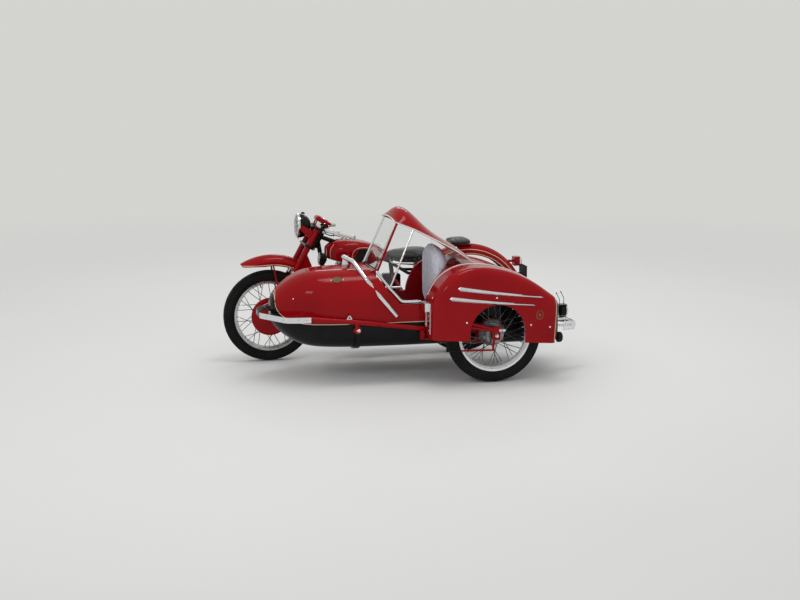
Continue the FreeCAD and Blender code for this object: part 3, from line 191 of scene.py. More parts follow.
def offset(tree, centre):
    # the place on a piece, measured in metres from a centre
    node = addNode(tree, "ShaderNodeVectorMath", operation="SUBTRACT")
    node.inputs[1].default_value = centre
    tree.links.new(place(tree), node.inputs[0])
    return node.outputs[0]


def axes(tree, centre):
    split = addNode(tree, "ShaderNodeSeparateXYZ")
    tree.links.new(offset(tree, centre), split.inputs[0])
    return split.outputs


def mixShaders(tree, fac, first, second, end):
    mix = tree.nodes.new("ShaderNodeMixShader")
    tree.links.new(fac, mix.inputs["Fac"])
    tree.links.new(first.outputs[0], mix.inputs[1])
    tree.links.new(second.outputs[0], mix.inputs[2])
    tree.links.new(mix.outputs[0], end.inputs["Surface"])


# finishes

paintGloss = 0.09
redDeep = (0.250, 0.0022, 0.0045)
redLight = (0.300, 0.0036, 0.0070)
blackDeep = (0.004, 0.004, 0.0045)
blackLight = (0.010, 0.0095, 0.009)
plating = (0.80, 0.81, 0.82)


def glossPaint(tree, shader, colour, roughness=(0.08, 0.16), coat=0.09):
    setColour(tree, shader, colour)
    setRoughness(tree, shader, 22, 5, roughness)
    setSockets(shader, {"Specular IOR Level": paintGloss, "Coat Weight": coat, "Coat Roughness": 0.03})
    bumps(tree, shader, noise(tree, 420, 2), 0.04, 0.0004)


def enamel(name, deep, light, roughness=(0.08, 0.16), coat=0.09):
    mat, tree, shader = startFinish(name)
    glossPaint(tree, shader, mottle(tree, 3.5, 2, deep, light), roughness, coat)
    return mat


def redCoat(name, roughness=(0.08, 0.16)):
    return enamel(name, redDeep, redLight, roughness)


def paintOver(mat):
    # a finished paint's tree, its shader and the colour that feeds it
    tree = mat.node_tree
    shader = tree.nodes["Principled BSDF"]
    return tree, shader, shader.inputs["Base Color"].links[0].from_socket


dust = {
    "colour": (0.20, 0.17, 0.14),
    "amount": 0.15,
    "height": (0.05, 0.3),       # metres: thickest below, none above
}


def dustLow(mat):
    # road dust that thins out upwards on a painted piece
    tree, shader, old = paintOver(mat)
    low = spread(tree, axes(tree, (0, 0, 0))[2], dust["amount"], 0, *dust["height"])
    patch = maths(tree, "MULTIPLY", low, spread(tree, noise(tree, 9, 6), 0.2, 1))
    setColour(tree, shader, blendColours(tree, patch, old, dust["colour"]))
    return mat


def twoToneAndShade(name, line):
    # red above and behind the line round the nose, black below and in front of it; painted shade behind the
    # sidecar's wheel and inside the cockpit
    mat, tree, shader = startFinish(name)
    red = mottle(tree, 3.5, 2, redDeep, redLight)
    black = mottle(tree, 6, 4, blackDeep, blackLight)
    fromCorner = axes(tree, at(line["cornerX"], 0, line["cornerZ"]))
    powers = []
    for value, reach in ((fromCorner[0], line["reachX"]), (fromCorner[2], line["reachZ"])):
        share = maths(tree, "MAXIMUM", maths(tree, "DIVIDE", value, -reach * mm), 0)
        powers.append(maths(tree, "POWER", share, line["power"]))
    ahead = maths(tree, "GREATER_THAN", maths(tree, "ADD", *powers), 1.0)
    tail = maths(tree, "GREATER_THAN", fromCorner[0], (line["tailX"] - line["cornerX"]) * mm)
    # painted shade: behind the sidecar's wheel, where the fender shades the red body, the body is painted
    # black
    fromWheel = axes(tree, wheelCentres["sidecar"])
    well = allOf(tree,
                 maths(tree, "LESS_THAN", distance(tree, fromWheel[0], fromWheel[2]), line["well"] * mm),
                 maths(tree, "LESS_THAN", fromWheel[1], line["wellDeep"] * mm))
    painted = blendColours(tree, anyOf(tree, ahead, tail, well), red, black)
    # painted shade: inside the cockpit the red paint is darkened to a dark maroon
    x, y, z = axes(tree, at((line["cockpitShadeFrom"] + line["cockpitShadeTo"]) / 2, sidecarMiddle, 0))
    lining = allOf(tree,
                   within(tree, x, (line["cockpitShadeTo"] - line["cockpitShadeFrom"]) / 2),
                   within(tree, y, line["cockpitShadeHalf"]),
                   maths(tree, "GREATER_THAN", z, line["cockpitShadeLow"] * mm))
    glossPaint(tree, shader, blendColours(tree, lining, painted, line["lining"]))
    return mat


def shadeInside(mat, centre):
    # a shell round a wheel keeps its colour outside; the faces that look at the wheel get painted shade, a
    # near-black mottle
    tree, shader, old = paintOver(mat)
    facing = addNode(tree, "ShaderNodeVectorMath", operation="DOT_PRODUCT")
    tree.links.new(offset(tree, centre), facing.inputs[0])
    tree.links.new(place(tree, "Normal"), facing.inputs[1])
    inner = maths(tree, "LESS_THAN", facing.outputs["Value"], -0.01)
    # painted shade: this dark mottle stands in for the shadow inside the shell
    paintedShade = mottle(tree, 12, 5, (0.010, 0.010, 0.010), (0.026, 0.024, 0.022))
    setColour(tree, shader, blendColours(tree, inner, old, paintedShade))
    return mat


def platedBeyond(mat, centre):
    # red on the side away from the motorcycle, plated on the side next to it
    tree, shader, old = paintOver(mat)
    beyond = maths(tree, "GREATER_THAN", axes(tree, centre)[1], 0)
    setColour(tree, shader, blendColours(tree, beyond, old, plating))
    tree.links.new(beyond, shader.inputs["Metallic"])
    return mat


def blackPart(mat, span):
    # one stretch of a red piece is black: below a height, between two places along the machine
    tree, shader, old = paintOver(mat)
    x, y, z = axes(tree, at((span["from"] + span["to"]) / 2, sidecarMiddle, span["top"]))
    inside = allOf(tree,
                   within(tree, x, (span["to"] - span["from"]) / 2),
                   maths(tree, "LESS_THAN", z, 0),
                   within(tree, y, span["half"]))
    setColour(tree, shader, blendColours(tree, inside, old, (0.006, 0.006, 0.006)))
    return mat


def plated(name, colour=plating, roughness=(0.04, 0.14)):
    mat, tree, shader = startFinish(name)
    dull = tuple(part * 0.86 for part in colour)
    setColour(tree, shader, mottle(tree, 14, 5, colour, dull))
    setRoughness(tree, shader, 60, 6, roughness)
    setSockets(shader, {"Metallic": 1.0})
    bumps(tree, shader, noise(tree, 260, 3), 0.03, 0.0003)
    return mat


def castMetal(name, light, dark, roughness=(0.32, 0.5), grain=900, metallic=0.95):
    mat, tree, shader = startFinish(name)
    setColour(tree, shader, mottle(tree, 18, 7, light, dark))
    setRoughness(tree, shader, 45, 5, roughness)
    setSockets(shader, {"Metallic": metallic})
    bumps(tree, shader, noise(tree, grain, 3), 0.25, 0.0005)
    return mat


def rubber(name, dark, dusty, roughness=(0.55, 0.8), grain=700):
    mat, tree, shader = startFinish(name)
    setSockets(shader, {"Specular IOR Level": 0.25})
    setColour(tree, shader, mottle(tree, 12, 6, dark, dusty))
    setRoughness(tree, shader, 30, 4, roughness)
    bumps(tree, shader, noise(tree, grain, 3), 0.2, 0.0006)
    return mat


def tyreRubber(name, centre):
    # black walls, greyer where the tread meets the road
    mat, tree, shader = startFinish(name)
    split = axes(tree, centre)
    radius = distance(tree, split[0], split[2])
    wear = maths(tree, "MULTIPLY", spread(tree, radius, 0, 1, 0.318, 0.331),
                 spread(tree, noise(tree, 40, 6), 0.1, 0.9))
    wall = mottle(tree, 9, 6, (0.0035, 0.0035, 0.004), (0.009, 0.0085, 0.008))
    setColour(tree, shader, blendColours(tree, wear, wall, (0.035, 0.033, 0.030)))
    setRoughness(tree, shader, 30, 4, (0.5, 0.75))
    setSockets(shader, {"Specular IOR Level": 0.14})
    rings = maths(tree, "MULTIPLY", waves(tree, radius, 1500), 0.25)
    bumps(tree, shader, maths(tree, "ADD", rings, noise(tree, 600, 3)), 0.2, 0.0006)
    return mat


def hide(name, base, edge, grain=330, roughness=(0.38, 0.55), depth=0.35):
    mat, tree, shader = startFinish(name)
    setColour(tree, shader, mottle(tree, 26, 6, base, edge))
    setRoughness(tree, shader, 70, 5, roughness)
    setSockets(shader, {"Sheen Weight": 0.08})
    creases = spread(tree, cracks(tree, grain), 0, 1, 0, 0.3)
    swell = maths(tree, "MULTIPLY", noise(tree, 40, 4), 0.6)
    bumps(tree, shader, maths(tree, "ADD", creases, swell), depth, 0.0006)
    return mat


def clearPane(name, tint=(0.935, 0.95, 0.945), roughness=(0.0, 0.03)):
    # glass that shadows and soft light pass straight through
    mat, tree, shader = startFinish(name)
    setColour(tree, shader, mottle(tree, 5, 3, tint, (0.97, 0.975, 0.97)))
    setRoughness(tree, shader, 30, 6, roughness)
    setSockets(shader, {"Transmission Weight": 1.0, "IOR": 1.45})
    bumps(tree, shader, noise(tree, 12, 2), 0.02, 0.0004)
    ray = tree.nodes.new("ShaderNodeLightPath")
    straight = anyOf(tree, ray.outputs["Is Shadow Ray"], ray.outputs["Is Diffuse Ray"])
    see = addNode(tree, "ShaderNodeBsdfTransparent", {"Color": (*tint, 1)})
    mixShaders(tree, straight, shader, see, tree.nodes["Material Output"])
    return mat


def flutedGlass(name, centre):
    mat, tree, shader = startFinish(name)
    split = axes(tree, centre)
    flutes = waves(tree, split[1], 900)
    bars = maths(tree, "MULTIPLY", waves(tree, split[2], 160), 0.5)
    setColour(tree, shader, mottle(tree, 8, 3, (0.93, 0.96, 0.97), (0.99, 1.0, 1.0)))
    setRoughness(tree, shader, 50, 4, (0.01, 0.05))
    setSockets(shader, {"Transmission Weight": 1.0, "IOR": 1.5})
    bumps(tree, shader, maths(tree, "ADD", flutes, bars), 0.5, 0.0008)
    return mat


def redLens(name, centre):
    mat, tree, shader = startFinish(name)
    split = axes(tree, centre)
    squares = maths(tree, "ADD", waves(tree, split[1], 1100), waves(tree, split[2], 1100))
    setColour(tree, shader, mottle(tree, 20, 3, (0.34, 0.004, 0.006), (0.46, 0.010, 0.012)))
    setRoughness(tree, shader, 50, 4, (0.05, 0.14))
    setSockets(shader, {"Coat Weight": 0.8})
    bumps(tree, shader, squares, 0.5, 0.0008)
    return mat


wheelMetal = {
    "rimFrom": 0.2255,       # metres from the axle
    "hubTo": 0.068,
    "spokes": ((0.055, 0.055, 0.058), (0.12, 0.115, 0.11)),
    "hub": ((0.30, 0.30, 0.31), (0.17, 0.16, 0.15)),
    "drumOut": 0.041,        # the drum's face is further out than this
}
wheelPaint = {
    "front": {"rim": ((0.55, 0.55, 0.56), (0.42, 0.42, 0.42)), "rimMatt": 0.0, "side": -1, "drum": 0.14},
    "rear": {"rim": ((0.55, 0.55, 0.56), (0.42, 0.42, 0.42)), "rimMatt": 0.0, "side": 1, "drum": 0.11},
    "sidecar": {"rim": ((0.82, 0.83, 0.84), (0.76, 0.76, 0.75)), "rimMatt": 0.85, "side": 1, "drum": 0.1},
}


def wheelFinish(name, centre, paint):
    # rim band, dull spokes, a darker hub and a red drum, told apart by their distance from the axle
    mat, tree, shader = startFinish(name)
    x, y, z = axes(tree, centre)
    radius = distance(tree, x, z)
    speck = spread(tree, noise(tree, 30, 6), 0, 1)
    isRim = maths(tree, "GREATER_THAN", radius, wheelMetal["rimFrom"])
    isHub = maths(tree, "LESS_THAN", radius, wheelMetal["hubTo"])
    outward = maths(tree, "MULTIPLY", y, paint["side"])
    isDrum = allOf(tree, maths(tree, "GREATER_THAN", outward, wheelMetal["drumOut"]),
                   maths(tree, "LESS_THAN", radius, paint["drum"]))
    colour = blendColours(tree, speck, *wheelMetal["spokes"])
    for test, tones in ((isRim, paint["rim"]), (isHub, wheelMetal["hub"]), (isDrum, (redDeep, redLight))):
        colour = blendColours(tree, test, colour, blendColours(tree, speck, *tones))
    setColour(tree, shader, colour)
    metal = maths(tree, "SUBTRACT", 0.9, maths(tree, "MULTIPLY", isRim, paint["rimMatt"]))
    metal = maths(tree, "MULTIPLY", metal, maths(tree, "SUBTRACT", 1.0, isDrum))
    tree.links.new(metal, shader.inputs["Metallic"])
    setRoughness(tree, shader, 55, 5, (0.18, 0.36))
    bumps(tree, shader, noise(tree, 500, 3), 0.06, 0.0003)
    return mat


bodyLine = {          # edge of the red on the sidecar: where the line round the nose turns level
    "cornerX": 233,
    "cornerZ": 559,
    "reachX": 297,
    "reachZ": 150,
    "power": 2.7,
    "width": 3.8,
    "tailX": 1786,        # the body is black behind this
    "well": 345,          # and black behind the sidecar's wheel, inside this radius: painted shade over the red body
    "wellDeep": 160,      # on the faces no further in than this
    "lining": (0.040, 0.004, 0.006),      # the cockpit's inside is dark maroon: painted shade over the red paint
    "cockpitShadeFrom": 640,
    "cockpitShadeTo": 1112,
    "cockpitShadeHalf": 262,
    "cockpitShadeLow": 330,
}
strap = {"from": 446, "to": 498, "top": 408, "half": 306}          # under the front of the hull
pullLever = {"from": 1000, "to": 1130, "top": 396, "half": 540}    # in front of the sidecar's tyre
fenderTail = {"from": 1794, "to": 1900, "top": 610, "half": 700}   # behind the fender's rear line

redEnamel = redCoat("red coach enamel")
pillarEnamel = platedBeyond(redCoat("red pillar enamel"), at(700, sidecarMiddle, 900))
redChassis = blackPart(dustLow(redCoat("red chassis enamel", (0.16, 0.3))), strap)
armEnamel = blackPart(redCoat("red arm enamel", (0.16, 0.3)), pullLever)
# the fender and both mudguards carry painted shade on their insides
fenderEnamelShaded = blackPart(shadeInside(redCoat("red fender enamel with painted shade inside"), wheelCentres["sidecar"]), fenderTail)
frontGuardEnamelShaded = shadeInside(redCoat("red front mudguard enamel with painted shade inside"), wheelCentres["front"])
rearGuardEnamelShaded = shadeInside(redCoat("red rear mudguard enamel with painted shade inside"), wheelCentres["rear"])
blackEnamel = dustLow(enamel("black stove enamel", blackDeep, blackLight, (0.12, 0.22)))
bodyPaintAndShade = twoToneAndShade("two tone body enamel and painted shade", bodyLine)
creamLine = enamel("cream lining paint", (0.70, 0.60, 0.38), (0.80, 0.71, 0.50), (0.3, 0.45), 0.4)
whiteBead = rubber("white beading", (0.62, 0.62, 0.59), (0.74, 0.73, 0.70), (0.35, 0.5))
chrome = plated("polished chrome")
dullChrome = plated("dulled chrome", (0.62, 0.62, 0.63), (0.14, 0.3))
castAlloy = castMetal("sand cast alloy", (0.60, 0.60, 0.60), (0.36, 0.35, 0.33))
polishedAlloy = castMetal("polished alloy", (0.74, 0.74, 0.74), (0.55, 0.54, 0.52), (0.16, 0.3), 300)
ironFins = castMetal("black iron fins", (0.060, 0.060, 0.062), (0.105, 0.095, 0.085), (0.45, 0.65), 900, 0.6)
bronze = castMetal("aged bronze", (0.12, 0.075, 0.040), (0.055, 0.036, 0.024), (0.35, 0.55), 500)
darkGilt = castMetal("dark gilt", (0.26, 0.18, 0.08), (0.14, 0.09, 0.045), (0.3, 0.5), 500)
saddleLeather = hide("black saddle leather", (0.006, 0.006, 0.007), (0.016, 0.0155, 0.015))
paleHide = hide("lavender upholstery", (0.68, 0.69, 0.80), (0.77, 0.78, 0.87), 420, (0.4, 0.55), 0.22)
blackRubber = rubber("moulded black rubber", (0.006, 0.006, 0.0065), (0.016, 0.0155, 0.015))
ivory = rubber("pale grip plastic", (0.56, 0.57, 0.52), (0.66, 0.66, 0.61), (0.3, 0.45), 300)
pane = clearPane("clear pane")
redGlass = clearPane("red lamp glass", (0.62, 0.010, 0.012), (0.03, 0.1))
print("finishes mixed")


# mesh helpers

def addItem(name, data):
    item = bpy.data.objects.new(name, data)
    bpy.context.scene.collection.objects.link(item)
    return item


def shade(mesh, smooth, angle):
    for face in mesh.polygons:
        face.use_smooth = smooth
    if smooth:
        mesh.set_sharp_from_angle(angle=math.radians(angle))


def newPiece(name, verts, faces, finish, body, smooth=True):
    mesh = bpy.data.meshes.new(name)
    mesh.from_pydata([tuple(v) for v in verts], [], faces)
    mesh.update()
    work = bmesh.new()
    work.from_mesh(mesh)
    bmesh.ops.remove_doubles(work, verts=work.verts, dist=0.00001)
    bmesh.ops.recalc_face_normals(work, faces=work.faces)
    work.to_mesh(mesh)
    work.free()
    shade(mesh, smooth, 38)
    mesh.materials.append(finish)
    item = addItem(name, mesh)
    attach(item, body)
    return item


def joinParts(parts):
    # several (verts, faces) lists as one
    verts, faces = [], []
    for partVerts, partFaces in parts:
        start = len(verts)
        verts += list(partVerts)
        faces += [tuple(start + i for i in face) for face in partFaces]
    return verts, faces


def ringFaces(rows, count, loop=False):
    # faces between rings of points, run round as a loop or closed at both ends
    faces = []
    for i in range(rows if loop else rows - 1):
        low, high = i * count, (i + 1) % rows * count
        for k in range(count):
            n = (k + 1) % count
            faces.append((low + k, low + n, high + n, high + k))
    if not loop:
        faces.append(tuple(range(count)))
        faces.append(tuple((rows - 1) * count + k for k in reversed(range(count))))
    return faces


def lathe(centre, axis, profile, segments, start=up):
    # profile holds (along the axis, radius) in millimetres; radius 0 closes the end
    axis = axis.normalized()
    if abs(axis.dot(start)) > 0.95:
        start = axis.orthogonal()
    first = (start - axis * start.dot(axis)).normalized()
    second = axis.cross(first)
    verts, faces, rings = [], [], []
    for along, radius in profile:
        middle = centre + axis * (along * mm)
        if radius < 0.0001:
            rings.append([len(verts)] * segments)
            verts.append(middle)
            continue
        rings.append(range(len(verts), len(verts) + segments))
        for i in range(segments):
            verts.append(middle + towards(first, second, 2 * math.pi * i / segments) * (radius * mm))
    for low, high in zip(rings, rings[1:]):
        for i in range(segments):
            j = (i + 1) % segments
            corners = [low[i], low[j], high[j], high[i]]
            face = [c for k, c in enumerate(corners) if c not in corners[:k]]
            if len(face) > 2:
                faces.append(tuple(face))
    return verts, faces


def smoothRoute(points, steps=8):
    # a curve through the points, as many short steps per span
    route = []
    count = len(points)
    for i in range(count - 1):
        before = points[max(i - 1, 0)]
        a, b = points[i], points[i + 1]
        after = points[min(i + 2, count - 1)]
        for k in range(steps):
            t = k / steps
            route.append(0.5 * ((2 * a) + (b - before) * t + (2 * before - 5 * a + 4 * b - after) * t * t
                                + (3 * a - before - 3 * b + after) * t ** 3))
    route.append(points[-1])
    return route


def pipe(route, radius, loop=False, segments=8):
    # round tube along a list of points, closed at both ends or run round as a loop
    verts = []
    side = None
    if loop and (route[0] - route[-1]).length < 0.0005:
        route = route[:-1]
    last = len(route) - 1
    for i, point in enumerate(route):
        if loop:
            along = (route[(i + 1) % (last + 1)] - route[i - 1]).normalized()
        else:
            along = (route[min(i + 1, last)] - route[max(i - 1, 0)]).normalized()
        if side is None:
            side = along.orthogonal().normalized()
        side = (side - along * side.dot(along)).normalized()
        other = along.cross(side)
        for k in range(segments):
            verts.append(point + towards(side, other, 2 * math.pi * k / segments) * radius)
    return verts, ringFaces(last + 1, segments, loop)


def surfaceOf(*names):
    verts, faces = [], []
    for name in names:
        mesh = nodes[name].data
        start = len(verts)
        verts += [v.co.copy() for v in mesh.vertices]
        faces += [tuple(start + i for i in face.vertices) for face in mesh.polygons]
    return BVHTree.FromPolygons(verts, faces)


def landOn(tree, start, direction):
    spot, normal = tree.ray_cast(start, direction)[:2]
    if spot is None:
        return None
    if normal.dot(direction) > 0:
        normal = -normal
    return spot, normal


def landings(tree, starts, direction):
    # (spot, normal) wherever a start meets the surface
    hits = [landOn(tree, start, direction) for start in starts]
    return [hit for hit in hits if hit]


def placesOn(tree, starts, direction, along):
    # places for repeated pieces on the surface below a row of points
    return [(spot, normal, along) for spot, normal in landings(tree, starts, direction)]


def ringOn(tree, centre, first, second, reach, count):
    # surface hits round a centre, seen from outside, in the plane of two directions
    hits = []
    for i in range(count):
        out = towards(first, second, 2 * math.pi * i / count)
        hits += landings(tree, [centre + out * reach], -out)
    return hits


def ribbon(hits, widths, lift, crown=0.0, across=3):
    # thin raised strip that follows surface hits: (spot, normal) pairs; a width may change along it
    verts = []
    last = len(hits) - 1
    for i, (spot, normal) in enumerate(hits):
        along = (hits[min(i + 1, last)][0] - hits[max(i - 1, 0)][0]).normalized()
        side = normal.cross(along).normalized()
        half = widths(i / last) / 2 if callable(widths) else widths / 2
        for k in range(across + 1):
            u = k / across * 2 - 1
            verts.append(spot + side * half * u + normal * (lift + crown * (1 - u * u)))
        verts += [spot + side * half - normal * lift, spot - side * half - normal * lift]
    return verts, ringFaces(last + 1, across + 3)


def lineOn(tree, points, direction, width, lift=0.0003, crown=0.0, steps=10):
    # strip laid on a surface under a smooth route, which stands off it against the direction
    starts = [point - direction * 0.6 for point in smoothRoute(points, steps)]
    return ribbon(landings(tree, starts, direction), width, lift, crown)


# repeated pieces

repeatShapes = {
    "block": {"kind": "Cube", "size": "Size", "values": {}},
    "dome": {"kind": "UVSphere", "sides": "Segments", "values": {"Rings": 8, "Radius": 1.0}},
    "bolt": {"kind": "Cone", "sides": "Vertices",
             "values": {"Radius Top": 0.86, "Radius Bottom": 1.0, "Depth": 1.0}},
}


def repeatTree(name, shape):
    # copies one small shape onto marked points; facing and along turn it
    tree = bpy.data.node_groups.new(name, "GeometryNodeTree")
    for label, kind in (("Places", "Geometry"), ("Width", "Float"), ("Length", "Float"),
                        ("Height", "Float"), ("Sides", "Int"), ("Finish", "Material")):
        tree.interface.new_socket(label, in_out="INPUT", socket_type="NodeSocket" + kind)
    tree.interface.new_socket("Pieces", in_out="OUTPUT", socket_type="NodeSocketGeometry")
    start = tree.nodes.new("NodeGroupInput")
    end = tree.nodes.new("NodeGroupOutput")
    link = tree.links.new
    size = tree.nodes.new("ShaderNodeCombineXYZ")
    for index, label in enumerate(("Width", "Length", "Height")):
        link(start.outputs[label], size.inputs[index])
    body = addNode(tree, "GeometryNodeMesh" + shape["kind"], shape["values"])
    shaped = body.outputs["Mesh"]
    if "size" in shape:
        link(size.outputs[0], body.inputs[shape["size"]])
    else:
        link(start.outputs["Sides"], body.inputs[shape["sides"]])
        stretch = tree.nodes.new("GeometryNodeTransform")
        link(shaped, stretch.inputs["Geometry"])
        link(size.outputs[0], stretch.inputs["Scale"])
        shaped = stretch.outputs["Geometry"]
    turned = None
    for attribute, axis in (("facing", "Z"), ("along", "Y")):
        read = addNode(tree, "GeometryNodeInputNamedAttribute", data_type="FLOAT_VECTOR")
        read.inputs["Name"].default_value = attribute
        turn = addNode(tree, "FunctionNodeAlignRotationToVector", axis=axis)
        link(read.outputs["Attribute"], turn.inputs["Vector"])
        if turned:
            turn.pivot_axis = "Z"
            link(turned, turn.inputs["Rotation"])
        turned = turn.outputs["Rotation"]
    copies = tree.nodes.new("GeometryNodeInstanceOnPoints")
    link(start.outputs["Places"], copies.inputs["Points"])
    link(shaped, copies.inputs["Instance"])
    link(turned, copies.inputs["Rotation"])
    real = tree.nodes.new("GeometryNodeRealizeInstances")
    link(copies.outputs["Instances"], real.inputs["Geometry"])
    paint = tree.nodes.new("GeometryNodeSetMaterial")
    link(real.outputs["Geometry"], paint.inputs["Geometry"])
    link(start.outputs["Finish"], paint.inputs["Material"])
    link(paint.outputs["Geometry"], end.inputs["Pieces"])
    return tree


repeatTrees = {label: repeatTree("repeat " + label, shape) for label, shape in repeatShapes.items()}


def repeatPieces(name, shape, places, size, finish, body, sides=12, smooth=True):
    # places holds (spot, facing, along); size is (width, length, height) in millimetres
    mesh = bpy.data.meshes.new(name + " places")
    mesh.from_pydata([tuple(entry[0]) for entry in places], [], [])
    for label, index in (("facing", 1), ("along", 2)):
        layer = mesh.attributes.new(label, "FLOAT_VECTOR", "POINT")
        for spot, entry in zip(layer.data, places):
            spot.vector = entry[index]
    holder = addItem(name + " places", mesh)
    tree = repeatTrees[shape]
    modifier = holder.modifiers.new("repeat", "NODES")
    modifier.node_group = tree
    width, length, height = (part * mm for part in size)
    values = {"Width": width, "Length": length, "Height": height, "Sides": sides, "Finish": finish}
    for socket in tree.interface.items_tree:
        if socket.in_out == "INPUT" and socket.name in values:
            modifier[socket.identifier] = values[socket.name]
    shown = bpy.context.evaluated_depsgraph_get()
    made = bpy.data.meshes.new_from_object(holder.evaluated_get(shown))
    holder.modifiers.remove(modifier)
    bpy.data.objects.remove(holder)
    shade(made, smooth, 35)
    item = addItem(name, made)
    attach(item, body)


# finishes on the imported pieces

packedFinishes = [
    (pillarEnamel, ["canopy_pillars"]),
    (redEnamel, ["fuel_tank", "fork_legs", "canopy_roof", "front_brake_plate", "instrument_pod",
                 "tail_lamp"]),
    (frontGuardEnamelShaded, ["front_mudguard"]),
    (rearGuardEnamelShaded, ["rear_mudguard"]),
    (fenderEnamelShaded, ["fender"]),
    (redChassis, ["sidecar_chassis"]),
    (armEnamel, ["wheel_arm"]),
    (bodyPaintAndShade, ["body_upper", "hull_lower"]),
    (blackEnamel, ["frame", "fork_yokes", "headlamp_shell", "chain_case", "plunger_units",
                   "sidecar_tail_lamp", "tool_box", "horn"]),
    (chrome, ["headlamp_rim", "handlebar", "hand_levers", "canopy_frame", "grab_rails", "latch_bracket",
              "nose_bumper", "rear_bumper", "exhaust", "kick_starter", "foot_controls"]),
    (dullChrome, ["front_axle", "rear_axle", "sidecar_axle", "saddle_springs"]),
    (castAlloy, ["engine_cases", "cylinder_head", "carburettor"]),
    (ironFins, ["cylinder_barrel"]),
    (pane, ["windscreen_glass", "side_glass"]),
    (blackRubber, ["rear_plate", "knee_pads", "footrests", "tail_buffer", "control_cables"]),
    (ivory, ["grips"]),
]
for wheelName, wheelCentre in wheelCentres.items():
    wheelColours = wheelFinish(wheelName + " wheel metal", wheelCentre, wheelPaint[wheelName])
    packedFinishes.append((wheelColours, [wheelName + "_wheel"]))


def dressPackedPieces():
    for finish, names in packedFinishes:
        for name in names:
            mesh = nodes[name].data
            mesh.materials.clear()
            mesh.materials.append(finish)
            shade(mesh, True, 32)


dressPackedPieces()
print("packed pieces dressed")


# tyres

tyre = {
    "reach": 330,            # tread radius
    "halfWidth": 45,
    "groove": 5,             # depth of the tread
    "crown": 13,             # how much lower the tread's edge is than its middle
    "bead": 247,
    "wall": [(-34, 256), (-37, 262), (-41, 272), (-44.5, 285), (-45, 297), (-43, 308), (-39, 316)],
    "segments": 96,
}
rearTread = {"count": 62, "block": (12.5, 22, 10.5),
             "rows": [(-37, 0), (-22, 0.5), (-7.5, 0), (7.5, 0.5), (22, 0), (37, 0.5)]}
treads = {
    "front": {"count": 110, "block": (8, 11, 9), "rows": [(-38, 0), (38, 0.5)]},
    "rear": rearTread,
    "sidecar": rearTread,
}


def crownRise(across):
    # height of the tread's floor, lower towards the edges
    return tyre["reach"] - tyre["groove"] - (across / tyre["halfWidth"]) ** 2 * tyre["crown"]


def tyreBody(centre, ribs):
    wall = [(-32, tyre["bead"])] + tyre["wall"]
    crown = []
    for across in range(-36, 37, 6):
        rise = crownRise(across)
        if ribs:
            crown += [(across - 2.3, rise), (across - 1.9, rise + 4.2), (across + 1.9, rise + 4.2),
                      (across + 2.3, rise)]
        else:
            crown.append((across, rise))
    farWall = [(-along, radius) for along, radius in reversed(wall)]
    outline = wall + crown + farWall + [(0, tyre["bead"] - 0.5), (-32, tyre["bead"])]
    return lathe(centre, right, outline, tyre["segments"])


def makeTread(name, centre, finish):
    tread = treads[name]
    places = []
    for across, shift in tread["rows"]:
        for i in range(tread["count"]):
            angle = 2 * math.pi * (i + shift) / tread["count"]
            out = towards(rearward, up, angle)
            facing = (out + right * across / tyre["halfWidth"] * 0.55).normalized()
            spot = centre + (out * crownRise(across) + right * across) * mm
            places.append((spot, facing, towards(up, -rearward, angle)))
    repeatPieces(name + "Tread", "block", places, tread["block"], finish, wheelBodies[name], smooth=False)


def makeTyres():
    for name, centre in wheelCentres.items():
        finish = tyreRubber(name + " tyre rubber", centre)
        item = newPiece(name + "TyreBody", *tyreBody(centre, name == "front"), finish, wheelBodies[name])
        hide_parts(name + "_tyre")
        makeTread(name, centre, finish)


makeTyres()
print("tyres made")


# lining and trim on the sidecar

def sideLine(skin, places, middle, side, width, lift=0.3, steps=10):
    # strip on one side of a surface through places given as (x, z), in millimetres
    points = [at(x, middle + side * 300, z) for x, z in places]
    return lineOn(skin, points, right * -side, width * mm, lift * mm, 0.0, steps)


bodyLineStops = {            # where the level stretch of the line runs along the machine
    "front": (420, 700, 1000),
    "wheel": (1300, 1600),   # left out on the near side, behind the sidecar's wheel, where the body is painted black as shade
    "rear": (1720, 1800, 1880),
    "noseHeights": (562, 580, 596, 606),
}


def bodyLineRoute():
    route = []
    for i in range(15):
        angle = math.radians(2 + 88 * i / 14)
        x = bodyLine["cornerX"] - bodyLine["reachX"] * math.cos(angle) ** (2 / bodyLine["power"])
        z = bodyLine["cornerZ"] - bodyLine["reachZ"] * math.sin(angle) ** (2 / bodyLine["power"])
        route.append((x, z))
    return route


def makeBodyLines():
    skin = surfaceOf("body_upper", "hull_lower")
    level = bodyLine["cornerZ"] - bodyLine["reachZ"]
    front, wheel, rear = [[(x, level) for x in bodyLineStops[part]] for part in ("front", "wheel", "rear")]
    front = bodyLineRoute() + front
    nose = [(bodyLine["cornerX"] - bodyLine["reachX"], z) for z in bodyLineStops["noseHeights"]]
    for label, side, routes in (("near", -1, [front, rear]), ("far", 1, [front + wheel + rear])):
        strips = [sideLine(skin, route, sidecarMiddle, side, bodyLine["width"], 0.4) for route in routes]
        newPiece(label + "BodyLine", *joinParts(strips), creamLine, "outfit")
        strip = sideLine(skin, nose, sidecarMiddle, side, bodyLine["width"], 0.4)
        newPiece(label + "NoseLine", *strip, creamLine, "outfit")


fenderTrim = {
    "face": -1140,
    "strips": [((1093, 666), (1690, 585)), ((1036, 600), (1634, 534))],
    "sag": 6,
    "stripWidth": (26, 14),  # in front and behind
    "stripRise": 8,
    "boltSpots": [(1160, 432), (1368, 593), (1610, 398), (1745, 378)],
    "tipBolt": (944, -1052, 595),
    "boltSize": (7.5, 7.5, 4.5),
    "bead": {"from": (944, -924), "to": (1800, -954), "radius": 4.5, "lift": 1},
    "rearLine": [(1790, 566), (1793, 520), (1791, 450), (1787, 380), (1784, 320), (1782, 276)],
    "rearLineWidth": 4.5,
}


